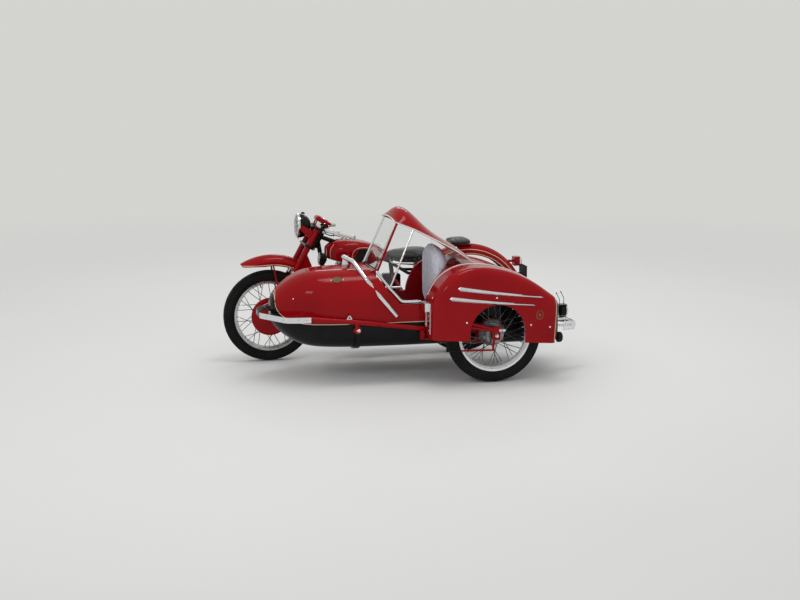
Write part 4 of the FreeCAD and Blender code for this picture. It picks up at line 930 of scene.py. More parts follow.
def makeFenderStrips():
    wide, narrow = fenderTrim["stripWidth"]

    def width(t):
        blunt = min(1, (t / 0.035) ** 0.5) * min(1, ((1 - t) / 0.02) ** 0.5)
        return (wide + (narrow - wide) * t) * mm * max(blunt, 0.12)

    skin = surfaceOf("fender")
    parts = []
    for (x0, z0), (x1, z1) in fenderTrim["strips"]:
        points = []
        for i in range(7):
            drop = fenderTrim["sag"] * math.sin(math.pi * i / 6)
            points.append(at(x0 + (x1 - x0) * i / 6, fenderTrim["face"], z0 + (z1 - z0) * i / 6 - drop))
        parts.append(lineOn(skin, points, right, width, 0.0006, fenderTrim["stripRise"] * mm, 8))
    newPiece("fenderStrips", *joinParts(parts), chrome, "outfit")
    places = [(at(x, fenderTrim["face"], z), -right, up) for x, z in fenderTrim["boltSpots"]]
    places.append((at(*fenderTrim["tipBolt"]), Vector((-0.94, 0, 0.34)), right))
    repeatPieces("fenderBolts", "dome", places, fenderTrim["boltSize"], chrome, "outfit", 20)


def makeFenderBead():
    bead = fenderTrim["bead"]
    (x0, y0), (x1, y1) = bead["from"], bead["to"]
    starts = [at(x0 + (x1 - x0) * i / 59, y0 + (y1 - y0) * i / 59, 1100) for i in range(60)]
    hits = landings(surfaceOf("fender"), starts, down)
    route = [spot + up * bead["lift"] * mm for spot, normal in hits]
    newPiece("fenderBead", *pipe(route, bead["radius"] * mm), whiteBead, "outfit")


makeBodyLines()
makeFenderStrips()
makeFenderBead()
print("sidecar trim laid")


# soft seats

# rows: place along the machine, half width, top, bottom, all in millimetres
saddleRows = [(866, 30, 757, 726), (874, 48, 764, 712), (960, 90, 769, 694), (1085, 136, 778, 690),
              (1160, 132, 776, 700), (1186, 114, 771, 714), (1194, 84, 762, 728)]
pillionRows = [(1338, 72, 834, 806), (1346, 92, 843, 803), (1400, 110, 849, 801), (1460, 107, 848, 801),
               (1482, 92, 842, 803), (1489, 70, 832, 806)]
cushionRows = [(803, 190, 428, 350), (814, 222, 442, 336), (870, 227, 447, 333), (1020, 227, 447, 333),
               (1086, 222, 441, 336), (1097, 190, 428, 350)]
backrestRows = [(1034, 172, 868, 470), (1042, 194, 890, 456), (1062, 209, 905, 452), (1092, 206, 892, 452),
                (1110, 192, 872, 456)]
channels = [sidecarMiddle + 76 * k for k in (-2, -1, 0, 1, 2)]
saddleSeams = (-62, 62)
pads = {
    "voxel": 6,
    "pressure": 4.0,
    "frames": 20,
    "reach": 12,             # furthest a point of the cover may move
    "inset": 5,              # how much smaller a pad starts than the space it fills
    "around": 56,
}
covers = {            # seams: places across (axis 1) or along (axis 0) the machine
    "saddleCover": {
        "node": "saddle", "finish": saddleLeather, "fill": 0.55,
        "rows": saddleRows, "power": 2.7, "middle": 0,
        "seams": saddleSeams, "axis": 1, "facing": up, "depth": 2.2, "width": 4},
    "pillionCover": {
        "node": "pillion_pad", "finish": saddleLeather, "fill": 0.6,
        "rows": pillionRows, "power": 2.6, "middle": 0,
        "seams": (1372, 1400, 1428, 1456), "axis": 0, "facing": up, "depth": 3, "width": 5},
    "seatCushion": {
        "node": "sidecar_cushion", "finish": paleHide, "fill": 0.7,
        "rows": cushionRows, "power": 3.4, "middle": sidecarMiddle,
        "seams": channels, "axis": 1, "facing": up, "depth": 6, "width": 8},
    "seatBackrest": {
        "node": "sidecar_backrest", "finish": paleHide, "fill": 0.7,
        "rows": backrestRows, "power": 3.0, "middle": sidecarMiddle,
        "seams": channels, "axis": 1, "facing": -rearward, "depth": 6, "width": 8},
}


def squared(value, power):
    return math.copysign(abs(value) ** (2 / power), value)


def padForm(cover):
    # closed form from squared oval sections, run smoothly through the rows
    grown = smoothRoute([Vector(row) for row in cover["rows"]], 6)
    power = cover["power"]
    verts = []
    for x, half, top, low in grown:
        tall = (top - low) / 2 - pads["inset"] * 0.5
        for k in range(pads["around"]):
            angle = 2 * math.pi * k / pads["around"]
            y = (half - pads["inset"]) * squared(math.cos(angle), power)
            z = tall * squared(math.sin(angle), power)
            verts.append(at(x, cover["middle"] + y, (top + low) / 2 + z))
    return verts, ringFaces(len(grown), pads["around"])


def evenMesh(item):
    # the form as an even net of small squares
    modifier = item.modifiers.new("even", "REMESH")
    modifier.mode = "VOXEL"
    modifier.voxel_size = pads["voxel"] * mm
    swapMesh(item)


def swapMesh(item):
    shown = bpy.context.evaluated_depsgraph_get()
    made = bpy.data.meshes.new_from_object(item.evaluated_get(shown))
    item.modifiers.clear()
    item.data = made


def inflate(items):
    # cloth covers blown up a little from inside, each point kept near its start
    scene = bpy.context.scene
    furthest = pads["reach"] * mm
    starts = {}
    for item in items:
        modifier = item.modifiers.new("cover", "CLOTH")
        cover = modifier.settings
        cover.quality = 4
        cover.mass = 0.3
        cover.use_pressure = True
        cover.uniform_pressure_force = pads["pressure"]
        cover.effector_weights.gravity = 0
        modifier.point_cache.frame_start = 1
        modifier.point_cache.frame_end = pads["frames"]
        starts[item.name] = [vert.co.copy() for vert in item.data.vertices]
    for step in range(1, pads["frames"] + 1):
        scene.frame_set(step)
    for item in items:
        swapMesh(item)
        for vert, start in zip(item.data.vertices, starts[item.name]):
            move = vert.co - start
            if move.length > furthest:
                vert.co = start + move.normalized() * furthest
    scene.frame_set(1)


def sewChannels(item, cover):
    # draws the cover down along its seams on the side that faces a direction
    axis = cover["axis"]
    seams = [at(seam, seam, 0)[axis] for seam in cover["seams"]]
    width = cover["width"] * mm
    for vert in item.data.vertices:
        shown = max(0.0, vert.normal.dot(cover["facing"]))
        near = sum(math.exp(-((vert.co[axis] - seam) / width) ** 2) for seam in seams)
        vert.co -= vert.normal * (cover["depth"] * mm * near * shown ** 0.5)
    item.data.update()


def makePads():
    items = {}
    for name, cover in covers.items():
        item = newPiece(name, *padForm(cover), cover["finish"], "outfit")
        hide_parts(cover["node"])
        evenMesh(item)
        items[name] = item
    inflate(list(items.values()))
    for name, item in items.items():
        sewChannels(item, covers[name])
        item.modifiers.new("smooth", "SUBSURF").levels = 1
        swapMesh(item)
        for face in item.data.polygons:
            face.use_smooth = True
    return items


def treeOf(item):
    return BVHTree.FromPolygons([v.co.copy() for v in item.data.vertices],
                                [tuple(face.vertices) for face in item.data.polygons])


sewing = {
    "welt": 3.5,
    "hem": 3.2,
    "studs": 11,
    "studFrom": 884,
    "studPitch": 29,
    "studLevel": 722,
    "studDip": 16,           # how far the row of studs drops in its middle
    "stud": (4.2, 4.2, 2),
    "paleStitch": (0.9, 4.2, 0.8),
    "darkStitch": (0.9, 3.6, 0.8),
}


def makeCushionSeams(cushion, backrest):
    # piping round the seat edges and stitches beside the channels
    welts = []
    for tree, centre, first, second in ((backrest, at(1058, sidecarMiddle, 678), right, up),
                                        (cushion, at(950, sidecarMiddle, 424), rearward, right)):
        hits = ringOn(tree, centre, first, second, 0.6, 72)
        welts.append(pipe([spot for spot, normal in hits], sewing["welt"] * mm, loop=True))
    newPiece("seatPiping", *joinParts(welts), paleHide, "outfit")
    places = []
    for channel in channels:
        for y in (channel - 5, channel + 5):
            places += placesOn(cushion, [at(x, y, 600) for x in range(826, 1076, 7)], down, rearward)
            places += placesOn(backrest, [at(900, y, z) for z in range(476, 880, 7)], rearward, up)
    thread = rubber("pale thread", (0.42, 0.42, 0.50), (0.50, 0.50, 0.58), (0.5, 0.7))
    repeatPieces("seatStitches", "block", places, sewing["paleStitch"], thread, "outfit", smooth=False)


def makeSaddleSeams(saddle):
    # studs and piping along the hem and a stitched line on each side
    studs = []
    for side in (-1, 1):
        starts = []
        for k in range(sewing["studs"]):
            dip = sewing["studDip"] * math.sin(math.pi * min(1, k / 7))
            x = sewing["studFrom"] + sewing["studPitch"] * k
            starts.append(at(x, side * 300, sewing["studLevel"] - dip))
        studs += placesOn(saddle, starts, right * -side, rearward)
    repeatPieces("saddleStuds", "dome", studs, sewing["stud"], chrome, "outfit", 14)
    hem = [spot for spot, normal in ringOn(saddle, at(1040, 0, 712), rearward, right, 0.5, 72)]
    newPiece("saddleHem", *pipe(hem, sewing["hem"] * mm, loop=True), saddleLeather, "outfit")
    stitches = []
    for seam in saddleSeams:
        stitches += placesOn(saddle, [at(x, seam + 5, 900) for x in range(890, 1180, 6)], down, rearward)
    thread = rubber("dark thread", (0.05, 0.05, 0.052), (0.09, 0.088, 0.085), (0.5, 0.7))
    repeatPieces("saddleStitches", "block", stitches, sewing["darkStitch"], thread, "outfit", smooth=False)


padItems = makePads()
makeCushionSeams(treeOf(padItems["seatCushion"]), treeOf(padItems["seatBackrest"]))
makeSaddleSeams(treeOf(padItems["saddleCover"]))
print("seats padded and sewn")


# headlamp, dial and lamps

def turnedPiece(name, centre, axis, profile, segments, finish, body, start=up):
    return newPiece(name, *lathe(centre, axis, profile, segments, start), finish, body)


def quarter(reach, radius, steps):
    # profile of a dome, from its top down to its edge
    angles = [math.pi / 2 * k / steps for k in range(steps + 1)]
    return [(reach * math.cos(angle), radius * math.sin(angle)) for angle in angles]


headlamp = {
    "face": (215, 0, 972),
    "mirrorRadius": 74,
    "glassRadius": 75.3,
    "glassReach": 16,
    "glassWall": 2.4,
    "bulbRadius": 9,
    "hood": [(4, 0), (8.5, 5), (9.2, 11), (8.2, 11.4), (7.4, 5), (3.6, 0)],
    "screw": (5, 5, 9),
    "switch": (256, 0, 1056),
    "knob": [(0, 0), (0, 13), (4, 14), (10, 12), (13, 8), (14, 0)],
}


def makeHeadlamp():
    centre = at(*headlamp["face"])
    r = headlamp["mirrorRadius"]
    bowl = [(-6.2, 0), (-6.2, 12)]
    bowl += [(-6.2 + 9.4 * (k / 10) ** 2, 12 + (r - 12) * k / 10) for k in range(1, 11)]
    bowl += [(1.4, r), (-6.9, 12), (-6.9, 0)]
    outer = [(4 + a, b) for a, b in quarter(headlamp["glassReach"], headlamp["glassRadius"], 12)]
    inner = [(a - headlamp["glassWall"], b * 0.975) for a, b in reversed(outer)]
    r = headlamp["bulbRadius"]
    bulb = [(-6 + r - r * math.cos(math.pi * k / 12), r * math.sin(math.pi * k / 12)) for k in range(13)]
    turnedPiece("headlampMirror", centre, -rearward, bowl, 64, chrome, "front_fork")
    glass = turnedPiece("headlampGlass", centre, -rearward, outer + inner, 72,
                        flutedGlass("fluted lamp glass", centre), "front_fork")
    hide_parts("headlamp_lens")
    bulbGlass = clearPane("bulb glass", (0.98, 0.97, 0.93))
    turnedPiece("headlampBulb", centre, -rearward, bulb, 32, bulbGlass, "front_fork")
    turnedPiece("bulbHood", centre, -rearward, headlamp["hood"], 32, chrome, "front_fork")
    low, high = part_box("headlamp_rim")
    spot = Vector(((low.x + high.x) / 2 + 0.004, frontAxle.y, low.z - 0.001))
    repeatPieces("rimScrew", "bolt", [(spot, down, rearward)], headlamp["screw"], chrome, "front_fork", 6)
    turnedPiece("lampSwitch", at(*headlamp["switch"]), Vector((0.12, 0, 1)), headlamp["knob"], 32,
                blackRubber, "front_fork", rearward)


dial = {
    "spot": (413, 0, 1012),
    "slope": 31,
    "radius": 27,
    "ticks": 25,
    "tick": (0.8, 4, 0.6),
    "hand": (1.2, 22, 0.6),
    "sweep": 260,            # degrees from the first tick to the last
    "jewels": (43, 30),      # in front of the dial and to each side
    "jewelSize": (6, 6, 5),
}


def makeDial():
    slope = math.radians(dial["slope"])
    facing = towards(up, rearward, slope)
    back = towards(rearward, down, slope)
    centre = at(*dial["spot"])
    r = dial["radius"]
    ring = [(-3, r - 2), (-3, r + 4), (3, r + 4), (5.5, r + 2), (5.5, r - 1), (2, r - 2), (-3, r - 2)]
    plate = [(-2, 0), (-2, r), (2.2, r), (2.2, 0)]
    glass = [(3.0, r - 1.5), (4.6, r * 0.6), (5.2, 0)]
    under = [(a - 0.8, b) for a, b in reversed(glass)]
    black = rubber("dial face", (0.010, 0.010, 0.011), (0.016, 0.016, 0.016), (0.4, 0.5), 300)
    turnedPiece("dialBezel", centre, facing, ring, 56, chrome, "front_fork", right)
    turnedPiece("dialFace", centre, facing, plate, 48, black, "front_fork", right)
    first = -math.radians(dial["sweep"] / 2)
    ticks = []
    for i in range(dial["ticks"]):
        out = towards(-back, right, first + math.radians(dial["sweep"] * i / (dial["ticks"] - 1)))
        ticks.append((centre + facing * 0.0024 + out * (r - 4) * mm, facing, out))
    out = towards(-back, right, first)
    hand = [(centre + facing * 0.0032 + out * 0.007, facing, out)]
    for name, places, size in (("dialTicks", ticks, dial["tick"]), ("dialHand", hand, dial["hand"])):
        repeatPieces(name, "block", places, size, ivory, "front_fork", smooth=False)
    turnedPiece("dialGlass", centre, facing, glass + under + glass[:1], 40, pane, "front_fork", right)
    ahead, aside = dial["jewels"]
    jewels = [(centre + (right * side * aside - back * ahead + facing) * mm, facing, right)
              for side in (-1, 1)]
    repeatPieces("podJewels", "dome", jewels, dial["jewelSize"], redGlass, "front_fork", 20)


tailLamps = {
    "bikeTail": {"centre": (1846, 0, 655), "radius": 34, "start": 40, "reach": 13},
    "sidecarTail": {"centre": (1905.3, -760, 417), "radius": 38, "start": 84, "reach": 9},
}


def makeTailLamps():
    for name, lamp in tailLamps.items():
        centre = at(*lamp["centre"])
        r, start = lamp["radius"], lamp["start"]
        ring = [(start - 6, r + 0.4), (start - 6, r + 4.5), (start + 3, r + 4.5), (start + 6, r + 1),
                (start + 6, r - 4), (start - 6, r + 0.4)]
        dome = [(start + a, b) for a, b in quarter(lamp["reach"], r - 2, 10)]
        dome += [(start - 3, r - 2), (start - 3, 0)]
        turnedPiece(name + "Ring", centre, rearward, ring, 56, chrome, "outfit")
        turnedPiece(name + "Glass", centre, rearward, dome, 56, redLens(name + " glass", centre), "outfit")


makeHeadlamp()
makeDial()
makeTailLamps()
print("lamps and dial fitted")


# bright and lined details on the motorcycle

steering = {
    "rake": 29,
    "spread": 95,
    "offset": 55,
    "axle": 330,
    "bar": 743.7,            # station of the handlebar's middle
}


def forkPoint(station, side=0, back=0.0):
    # station is measured up the legs from the front axle, back square to them
    rake = math.radians(steering["rake"])
    along, behind = towards(up, rearward, rake), towards(rearward, down, rake)
    return at(0, side * steering["spread"], steering["axle"]) + along * station * mm + behind * back * mm


forkUp = (forkPoint(1) - forkPoint(0)).normalized()
forkBack = (forkPoint(0, 0, 1) - forkPoint(0)).normalized()
barMiddle = forkPoint(steering["bar"], 0, steering["offset"])

forkTrim = {
    "ring": [(-9, 21.4), (-9, 23.4), (3, 23.4), (5, 21.4), (-9, 21.4)],
    "ringAt": 360,
    "seal": [(-16, 17.4), (-16, 20), (-2, 20), (-2, 17.4), (-16, 17.4)],
    "sealAt": 354,
    "cap": [(0, 0), (0, 18), (6, 18), (8, 15), (16, 15), (18, 12), (18, 0)],
    "capAt": 729,
    "clampBolt": (5.5, 5.5, 8),
    "clampBolts": (42, 17, 24.5),      # aside, ahead or behind, up from the bar's middle
}


def makeForkTrim():
    rings, caps = [], []
    for side in (-1, 1):
        for part in ("ring", "seal"):
            rings.append(lathe(forkPoint(forkTrim[part + "At"], side), forkUp, forkTrim[part], 40))
        caps.append(lathe(forkPoint(forkTrim["capAt"], side), forkUp, forkTrim["cap"], 6))
    newPiece("forkRings", *joinParts(rings), chrome, "front_fork")
    newPiece("forkCaps", *joinParts(caps), chrome, "front_fork", smooth=False)
    aside, shift, rise = forkTrim["clampBolts"]
    places = []
    for y in (-aside, aside):
        for x in (-shift, shift):
            places.append((barMiddle + (right * y + forkBack * x + forkUp * rise) * mm, forkUp, forkBack))
    repeatPieces("barClampBolts", "bolt", places, forkTrim["clampBolt"], chrome, "front_fork", 6, False)


grip = {
    "outer": (170, 175, -32),    # from the bend of the bar to its end
    "bend": (-25, 190, 2),
    "ball": (-40, 0, -8),        # from the end of the bar to the lever's ball
    "ballRadius": 7.5,
    "bore": 12.8,
    "length": 120,
    "radius": 16,
    "ridges": 15,
}


def gripProfile():
    length, r, bore = grip["length"], grip["radius"], grip["bore"]
    profile = [(-length, bore), (-length, r + 4), (-length + 5, r + 4), (-length + 8, r - 0.6)]
    pitch = (length - 22) / grip["ridges"]
    for k in range(grip["ridges"]):
        for share, rise in ((0, -0.8), (0.3, 0.7), (0.6, 0.7), (0.9, -0.8)):
            profile.append((-length + 12 + (k + share) * pitch, r + rise))
    return profile + [(-6, r), (0, r + 1.6), (5, r + 0.6), (7.5, r - 5), (8, 0), (0.5, 0), (0.5, bore),
                      (-length, bore)]


def makeGrips():
    profile = gripProfile()
    sleeves, balls = [], []
    for side in (-1, 1):
        flip = Vector((1, side, 1))
        outer = Vector(grip["outer"]) * flip
        end = barMiddle + (Vector(grip["bend"]) * flip + outer) * mm
        sleeves.append(lathe(end, outer, profile, 40))
        balls.append((end + Vector(grip["ball"]) * mm, right * side, rearward))
    item = newPiece("ribbedGrips", *joinParts(sleeves), ivory, "front_fork")
    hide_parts("grips")
    repeatPieces("leverBalls", "dome", balls, [grip["ballRadius"]] * 3, chrome, "front_fork", 18)


guardLines = {        # arcs round a centre, and a straight run on to a tip
    "front": {"centre": (25, 318), "radii": (386,), "sweep": (46, 90), "tip": (-196, 699),
              "body": "front_fork"},
    "rear": {"centre": (1470, 345), "radii": (392, 421), "sweep": (2, 166), "tip": None,
             "body": "outfit"},
}
guardLineWidth = 3.6


def guardRoute(guard, radius):
    cx, cz = guard["centre"]
    low, high = guard["sweep"]
    angles = [math.radians(low + (high - low) * i / 30) for i in range(31)]
    route = [(cx + radius * math.cos(angle), cz + radius * math.sin(angle)) for angle in angles]
    if guard["tip"]:
        x, z = guard["tip"]
        route += [(cx + (x - cx) * i / 8, cz + radius + (z - cz - radius) * min(1, i / 4))
                  for i in range(1, 9)]
    return route


def makeGuardLines():
    for name, guard in guardLines.items():
        skin = surfaceOf(name + "_mudguard")
        for label, side in (("Near", -1), ("Far", 1)):
            for index, radius in enumerate(guard["radii"]):
                strip = sideLine(skin, guardRoute(guard, radius), 0, side, guardLineWidth, 0.3, 3)
                newPiece(name + "GuardLine" + label + str(index + 1), *strip, creamLine, guard["body"])


tankTrim = {
    "lineWidth": 3.2,
    "kneeLine": [(588, 744), (612, 704), (680, 682), (752, 690), (776, 716), (764, 772), (722, 806),
                 (640, 812), (598, 786), (588, 744)],
    "tankLine": [(462, 704), (446, 728), (440, 768), (446, 808), (470, 838)],
    "cap": [(-10, 29), (-7, 31), (-4, 29), (-4, 26.6), (5, 26.6), (9, 25), (11.5, 20), (12, 0), (9, 0),
            (4, 20.2), (-10, 26.2), (-10, 29)],
    "capAt": (560, 0, 866),
    "knurls": 36,
    "knurl": (2.2, 8, 2),
    "padRibs": 7,
    "padRibsFrom": (640, 742, 17),     # place, height and pitch
    "padRib": (6, 62, 3),
}


def makeTankTrim():
    skin = surfaceOf("fuel_tank")
    kneeSkin = surfaceOf("knee_pads")
    x, z, pitch = tankTrim["padRibsFrom"]
    ribs = []
    for label, side in (("Near", -1), ("Far", 1)):
        for name in ("kneeLine", "tankLine"):
            strip = sideLine(skin, tankTrim[name], 0, side, tankTrim["lineWidth"], 0.3, 8)
            newPiece(name + label, *strip, creamLine, "outfit")
        starts = [at(x + pitch * k, side * 300, z) for k in range(tankTrim["padRibs"])]
        ribs += placesOn(kneeSkin, starts, right * -side, up)
    centre = at(*tankTrim["capAt"])
    turnedPiece("fillerCap", centre, up, tankTrim["cap"], 56, chrome, "outfit", rearward)
    knurls = []
    for i in range(tankTrim["knurls"]):
        out = towards(rearward, right, 2 * math.pi * i / tankTrim["knurls"])
        knurls.append((centre + out * 0.0266 + up * 0.0008, out, up))
    repeatPieces("capKnurls", "block", knurls, tankTrim["knurl"], chrome, "outfit", smooth=False)
    repeatPieces("kneePadRibs", "block", ribs, tankTrim["padRib"], blackRubber, "outfit", smooth=False)


engine = {
    "crank": (600, 292),
    "timing": [(-50, -56), (18, -74), (100, -30), (172, 28), (162, 78), (112, 98), (30, 94), (-42, 88),
               (-68, 12)],
    "timingFace": 106.8,
    "primary": [(-80, 0), (-56, 56), (0, 78), (67, 83), (134, 88), (200, 94), (243, 82), (282, 38),
                (282, -22), (243, -67), (134, -78), (67, -79), (0, -80), (-56, -56)],
    "primaryFace": -112.8,
    "screw": (5.5, 5.5, 3),
    "slot": (1.1, 8, 1.2),
    "barrel": 575,
    "nut": (8, 8, 7),
    "plug": (548, -50, 600),
    "plugOut": (-0.35, -0.80, 0.48),
    "plugBody": [(0, 0), (0, 9), (24, 9), (26, 12), (34, 12), (36, 8), (36, 0)],
    "plugCap": [(0, 0), (0, 8.5), (6, 10.5), (26, 10), (34, 6), (35, 0)],
    "exhaustPort": (478, 26, 600),
}


def makeEngineTrim():
    cx, cz = engine["crank"]
    places = [(at(cx + x, engine["timingFace"], cz + z), right, up) for x, z in engine["timing"]]
    places += [(at(cx + x, engine["primaryFace"], cz + z), -right, up) for x, z in engine["primary"]]
    slant = (rearward + up).normalized()
    slots = [(spot + facing * 0.0028, facing, slant) for spot, facing, along in places]
    repeatPieces("caseScrews", "dome", places, engine["screw"], chrome, "outfit", 14)
    repeatPieces("screwSlots", "block", slots, engine["slot"], blackRubber, "outfit", smooth=False)
    barrel = engine["barrel"]
    nuts = [(at(barrel + x, y, 694), up, rearward) for x in (-62, 0, 54) for y in (-36, 36)]
    nuts += [(at(barrel + x, y, 415), up, rearward) for x in (-56, 56) for y in (-56, 56)]
    repeatPieces("headNuts", "bolt", nuts, engine["nut"], dullChrome, "outfit", 6, False)
    base = at(*engine["plug"])
    out = Vector(engine["plugOut"]).normalized()
    turnedPiece("plugBody", base, out, engine["plugBody"], 24, dullChrome, "outfit")
    turnedPiece("plugCap", base + out * 0.036, out, engine["plugCap"], 24, blackRubber, "outfit")
    ring = []
    for k in range(4):
        a = -10 + 5 * k
        ring += [(a, 21), (a, 30), (a + 2.6, 30), (a + 2.6, 24)]
    ring += [(10, 24), (10, 21), (-10, 21)]
    turnedPiece("exhaustNut", at(*engine["exhaustPort"]), rearward, ring, 48, polishedAlloy, "outfit")


silencer = {
    "bands": {
        852: [(-7, 30), (-7, 44), (7, 49), (7, 40), (-7, 30)],
        1340: [(-7, 40), (-7, 49.5), (7, 49.5), (7, 40), (-7, 40)]},
    "middle": (140, 180),
    "mouthAt": 1471,
    "mouth": [(1.0, 23.5), (1.0, 19), (-34, 19), (-34, 0), (-36, 0), (-36, 23.5), (1.0, 23.5)],
}


def makeSilencerTrim():
    y, z = silencer["middle"]
    bands = [lathe(at(x, y, z), rearward, band, 48) for x, band in silencer["bands"].items()]
    newPiece("silencerBands", *joinParts(bands), chrome, "outfit")
    mouth = at(silencer["mouthAt"], y, z)
    turnedPiece("silencerMouth", mouth, rearward, silencer["mouth"], 36, blackRubber, "outfit")


horn = {
    "tilt": 6,
    "middle": -66,
    "ring": [(-3, 34), (-3, 40), (1.5, 40), (3, 38), (2, 34), (-3, 34)],
    "boss": [(-4, 0), (-4, 13), (1, 13), (4.5, 9), (5.5, 0)],
    "bars": 28,
    "bar": (2.2, 26, 2.2),
}


def makeHorn():
    low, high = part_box("horn")
    ahead = towards(-rearward, up, math.radians(horn["tilt"]))
    side = ahead.cross(right).normalized()
    centre = Vector((low.x + 0.006, at(0, horn["middle"], 0).y, (low.z + high.z) / 2))
    turnedPiece("hornRing", centre, ahead, horn["ring"], 48, chrome, "outfit")
    turnedPiece("hornBoss", centre, ahead, horn["boss"], 32, chrome, "outfit")
    bars = []
    for i in range(horn["bars"]):
        out = towards(right, side, 2 * math.pi * i / horn["bars"])
        bars.append((centre + out * 0.025 + ahead * 0.0005, ahead, out))
    repeatPieces("hornGrille", "block", bars, horn["bar"], chrome, "outfit", smooth=False)


wheelTrim = {
    "spokes": 36,
    "drums": {"front": (132, -1), "rear": (100, 1), "sidecar": (90, 1)},     # radius and side
    "hubRoot": 56,
    "rimRadius": 232,
    "nipple": (3.6, 3.6, 13),
    "valveAngle": 105,
    "valveAt": 228.5,
    "valve": [(0, 0), (0, 3), (6, 3), (6, 4.2), (22, 4.2), (23, 3), (26, 0)],
    "frontNut": (16, 16, 10),
    "frontNutAt": (0, 119, 330),
    "rearNut": (17, 17, 12),
    "rearNutAt": (1450, 126, 330),
    "plungerCap": [(0, 0), (0, 21), (4, 22), (7, 19), (9, 10), (10, 0)],
    "plungerTop": (1450, 98, 494),
}


def nipplePlaces(centre, drumRadius, drumSide):
    # where each crossed spoke meets the rim
    places = []
    for i in range(wheelTrim["spokes"]):
        side = 1 if i % 2 else -1
        lean = 1 if (i // 2) % 2 else -1
        outer = 2 * math.pi * i / wheelTrim["spokes"]
        root = min(drumRadius - 4, 168) if side == drumSide else wheelTrim["hubRoot"]
        inner = outer + lean * math.radians(38 if root < 80 else 22)
        start = towards(rearward, up, inner) * root + right * side * 35
        end = towards(rearward, up, outer) * wheelTrim["rimRadius"] + right * side * 5
        way = (end - start).normalized()
        places.append((centre + (end - way * 11) * mm, -way, right))
    return places


def makeWheelTrim():
    for name, centre in wheelCentres.items():
        places = nipplePlaces(centre, *wheelTrim["drums"][name])
        repeatPieces(name + "Nipples", "bolt", places, wheelTrim["nipple"], dullChrome, wheelBodies[name], 8)
        out = towards(rearward, up, math.radians(wheelTrim["valveAngle"]))
        spot = centre + out * wheelTrim["valveAt"] * mm
        turnedPiece(name + "Valve", spot, -out, wheelTrim["valve"], 16, bronze, wheelBodies[name], right)
    for label, body in (("front", "front_fork"), ("rear", "outfit")):
        x, y, z = wheelTrim[label + "NutAt"]
        nuts = [(at(x, side * y, z), right * side, rearward) for side in (-1, 1)]
        repeatPieces(label + "AxleNuts", "bolt", nuts, wheelTrim[label + "Nut"], chrome, body, 6, False)
    x, y, z = wheelTrim["plungerTop"]
    tops = [lathe(at(x, side * y, z), up, wheelTrim["plungerCap"], 36, rearward) for side in (-1, 1)]
    newPiece("plungerCaps", *joinParts(tops), chrome, "outfit")


makeForkTrim()
makeGrips()
makeGuardLines()
makeTankTrim()
makeEngineTrim()
makeSilencerTrim()
makeHorn()
makeWheelTrim()
print("motorcycle trimmed")


# badge, clips, beads and fittings on the sidecar

badge = {
    "spot": (342, -811, 702),
    "facing": (-0.09, -0.65, 0.75),
    "size": (33, 26),        # half length, half height
    "rings": [(1.0, -1.5), (1.0, 2.2), (0.96, 3.2), (0.88, 3.2), (0.84, 2.0), (0.50, 2.4), (0.46, 3.6),
              (0.40, 3.8), (0.36, 3.0), (0.10, 3.6)],
    "rays": 30,
    "ray": (1.1, 6.5, 1.2),
    "screwAside": 40,
    "screw": (5.2, 5.2, 3),
    "noseScrews": (45, 300, 580),
}
shield = {            # six-sided shield on the fender
    "spot": (1672, -1140, 464),
    "upright": (0.22, 0, 1),
    "size": (36, 28),
    "rings": [(1.0, -0.5), (1.0, 1.3), (0.97, 1.7), (0.87, 1.7), (0.84, 1.0), (0.30, 1.0)],
    "enamelRings": [(0.83, 0.2), (0.83, 1.35), (0.36, 1.35), (0.34, 0.9)],
}


def ovalPlate(centre, facing, along, size, rings, segments=56):
    # plate of oval rings: (share of the oval, height in millimetres) from the rim to the middle
    along = (along - facing * along.dot(facing)).normalized()
    long, tall = along * size[0], facing.cross(along) * size[1]
    verts = []
    for share, height in rings:
        for k in range(segments):
            out = towards(long, tall, 2 * math.pi * k / segments)
            verts.append(centre + out * share * mm + facing * height * mm)
    return verts, ringFaces(len(rings), segments)


def makeNoseBadge():
    body = surfaceOf("body_upper")
    facing = Vector(badge["facing"]).normalized()
    centre, normal = landOn(body, at(*badge["spot"]) + facing * 0.1, -facing)
    along = (rearward - normal * rearward.dot(normal)).normalized()
    plate = ovalPlate(centre, normal, along, badge["size"], badge["rings"])
    newPiece("noseBadge", *plate, bronze, "outfit")
    long, tall = along * badge["size"][0], normal.cross(along) * badge["size"][1]
    rays = []
    for i in range(badge["rays"]):
        out = towards(long, tall, 2 * math.pi * i / badge["rays"])
        rays.append((centre + out * 0.67 * mm + normal * 0.0023, normal, out.normalized()))
    repeatPieces("badgeRays", "block", rays, badge["ray"], darkGilt, "outfit", smooth=False)
    starts = [centre + along * side * badge["screwAside"] * mm + normal * 0.05 for side in (-1, 1)]
    screws = placesOn(body, starts, -normal, along)
    x, y, z = badge["noseScrews"]
    for side in (-1, 1):
        screws += placesOn(body, [at(x, sidecarMiddle + side * y, z)], right * -side, rearward)
    repeatPieces("noseScrews", "dome", screws, badge["screw"], chrome, "outfit", 18)


def makeShield():
    face = at(*shield["spot"])
    upright = Vector(shield["upright"])
    for name, rings, finish in (("fenderShield", shield["rings"], darkGilt),
                                ("fenderShieldEnamel", shield["enamelRings"], redEnamel)):
        plate = ovalPlate(face, -right, upright, shield["size"], rings, 6)
        newPiece(name, *plate, finish, "outfit", smooth=False)


noseCrest = {
    "height": 562,
    "bulge": 12,
    "sweep": (-4, 184),      # degrees, from just below one side over to the other
}


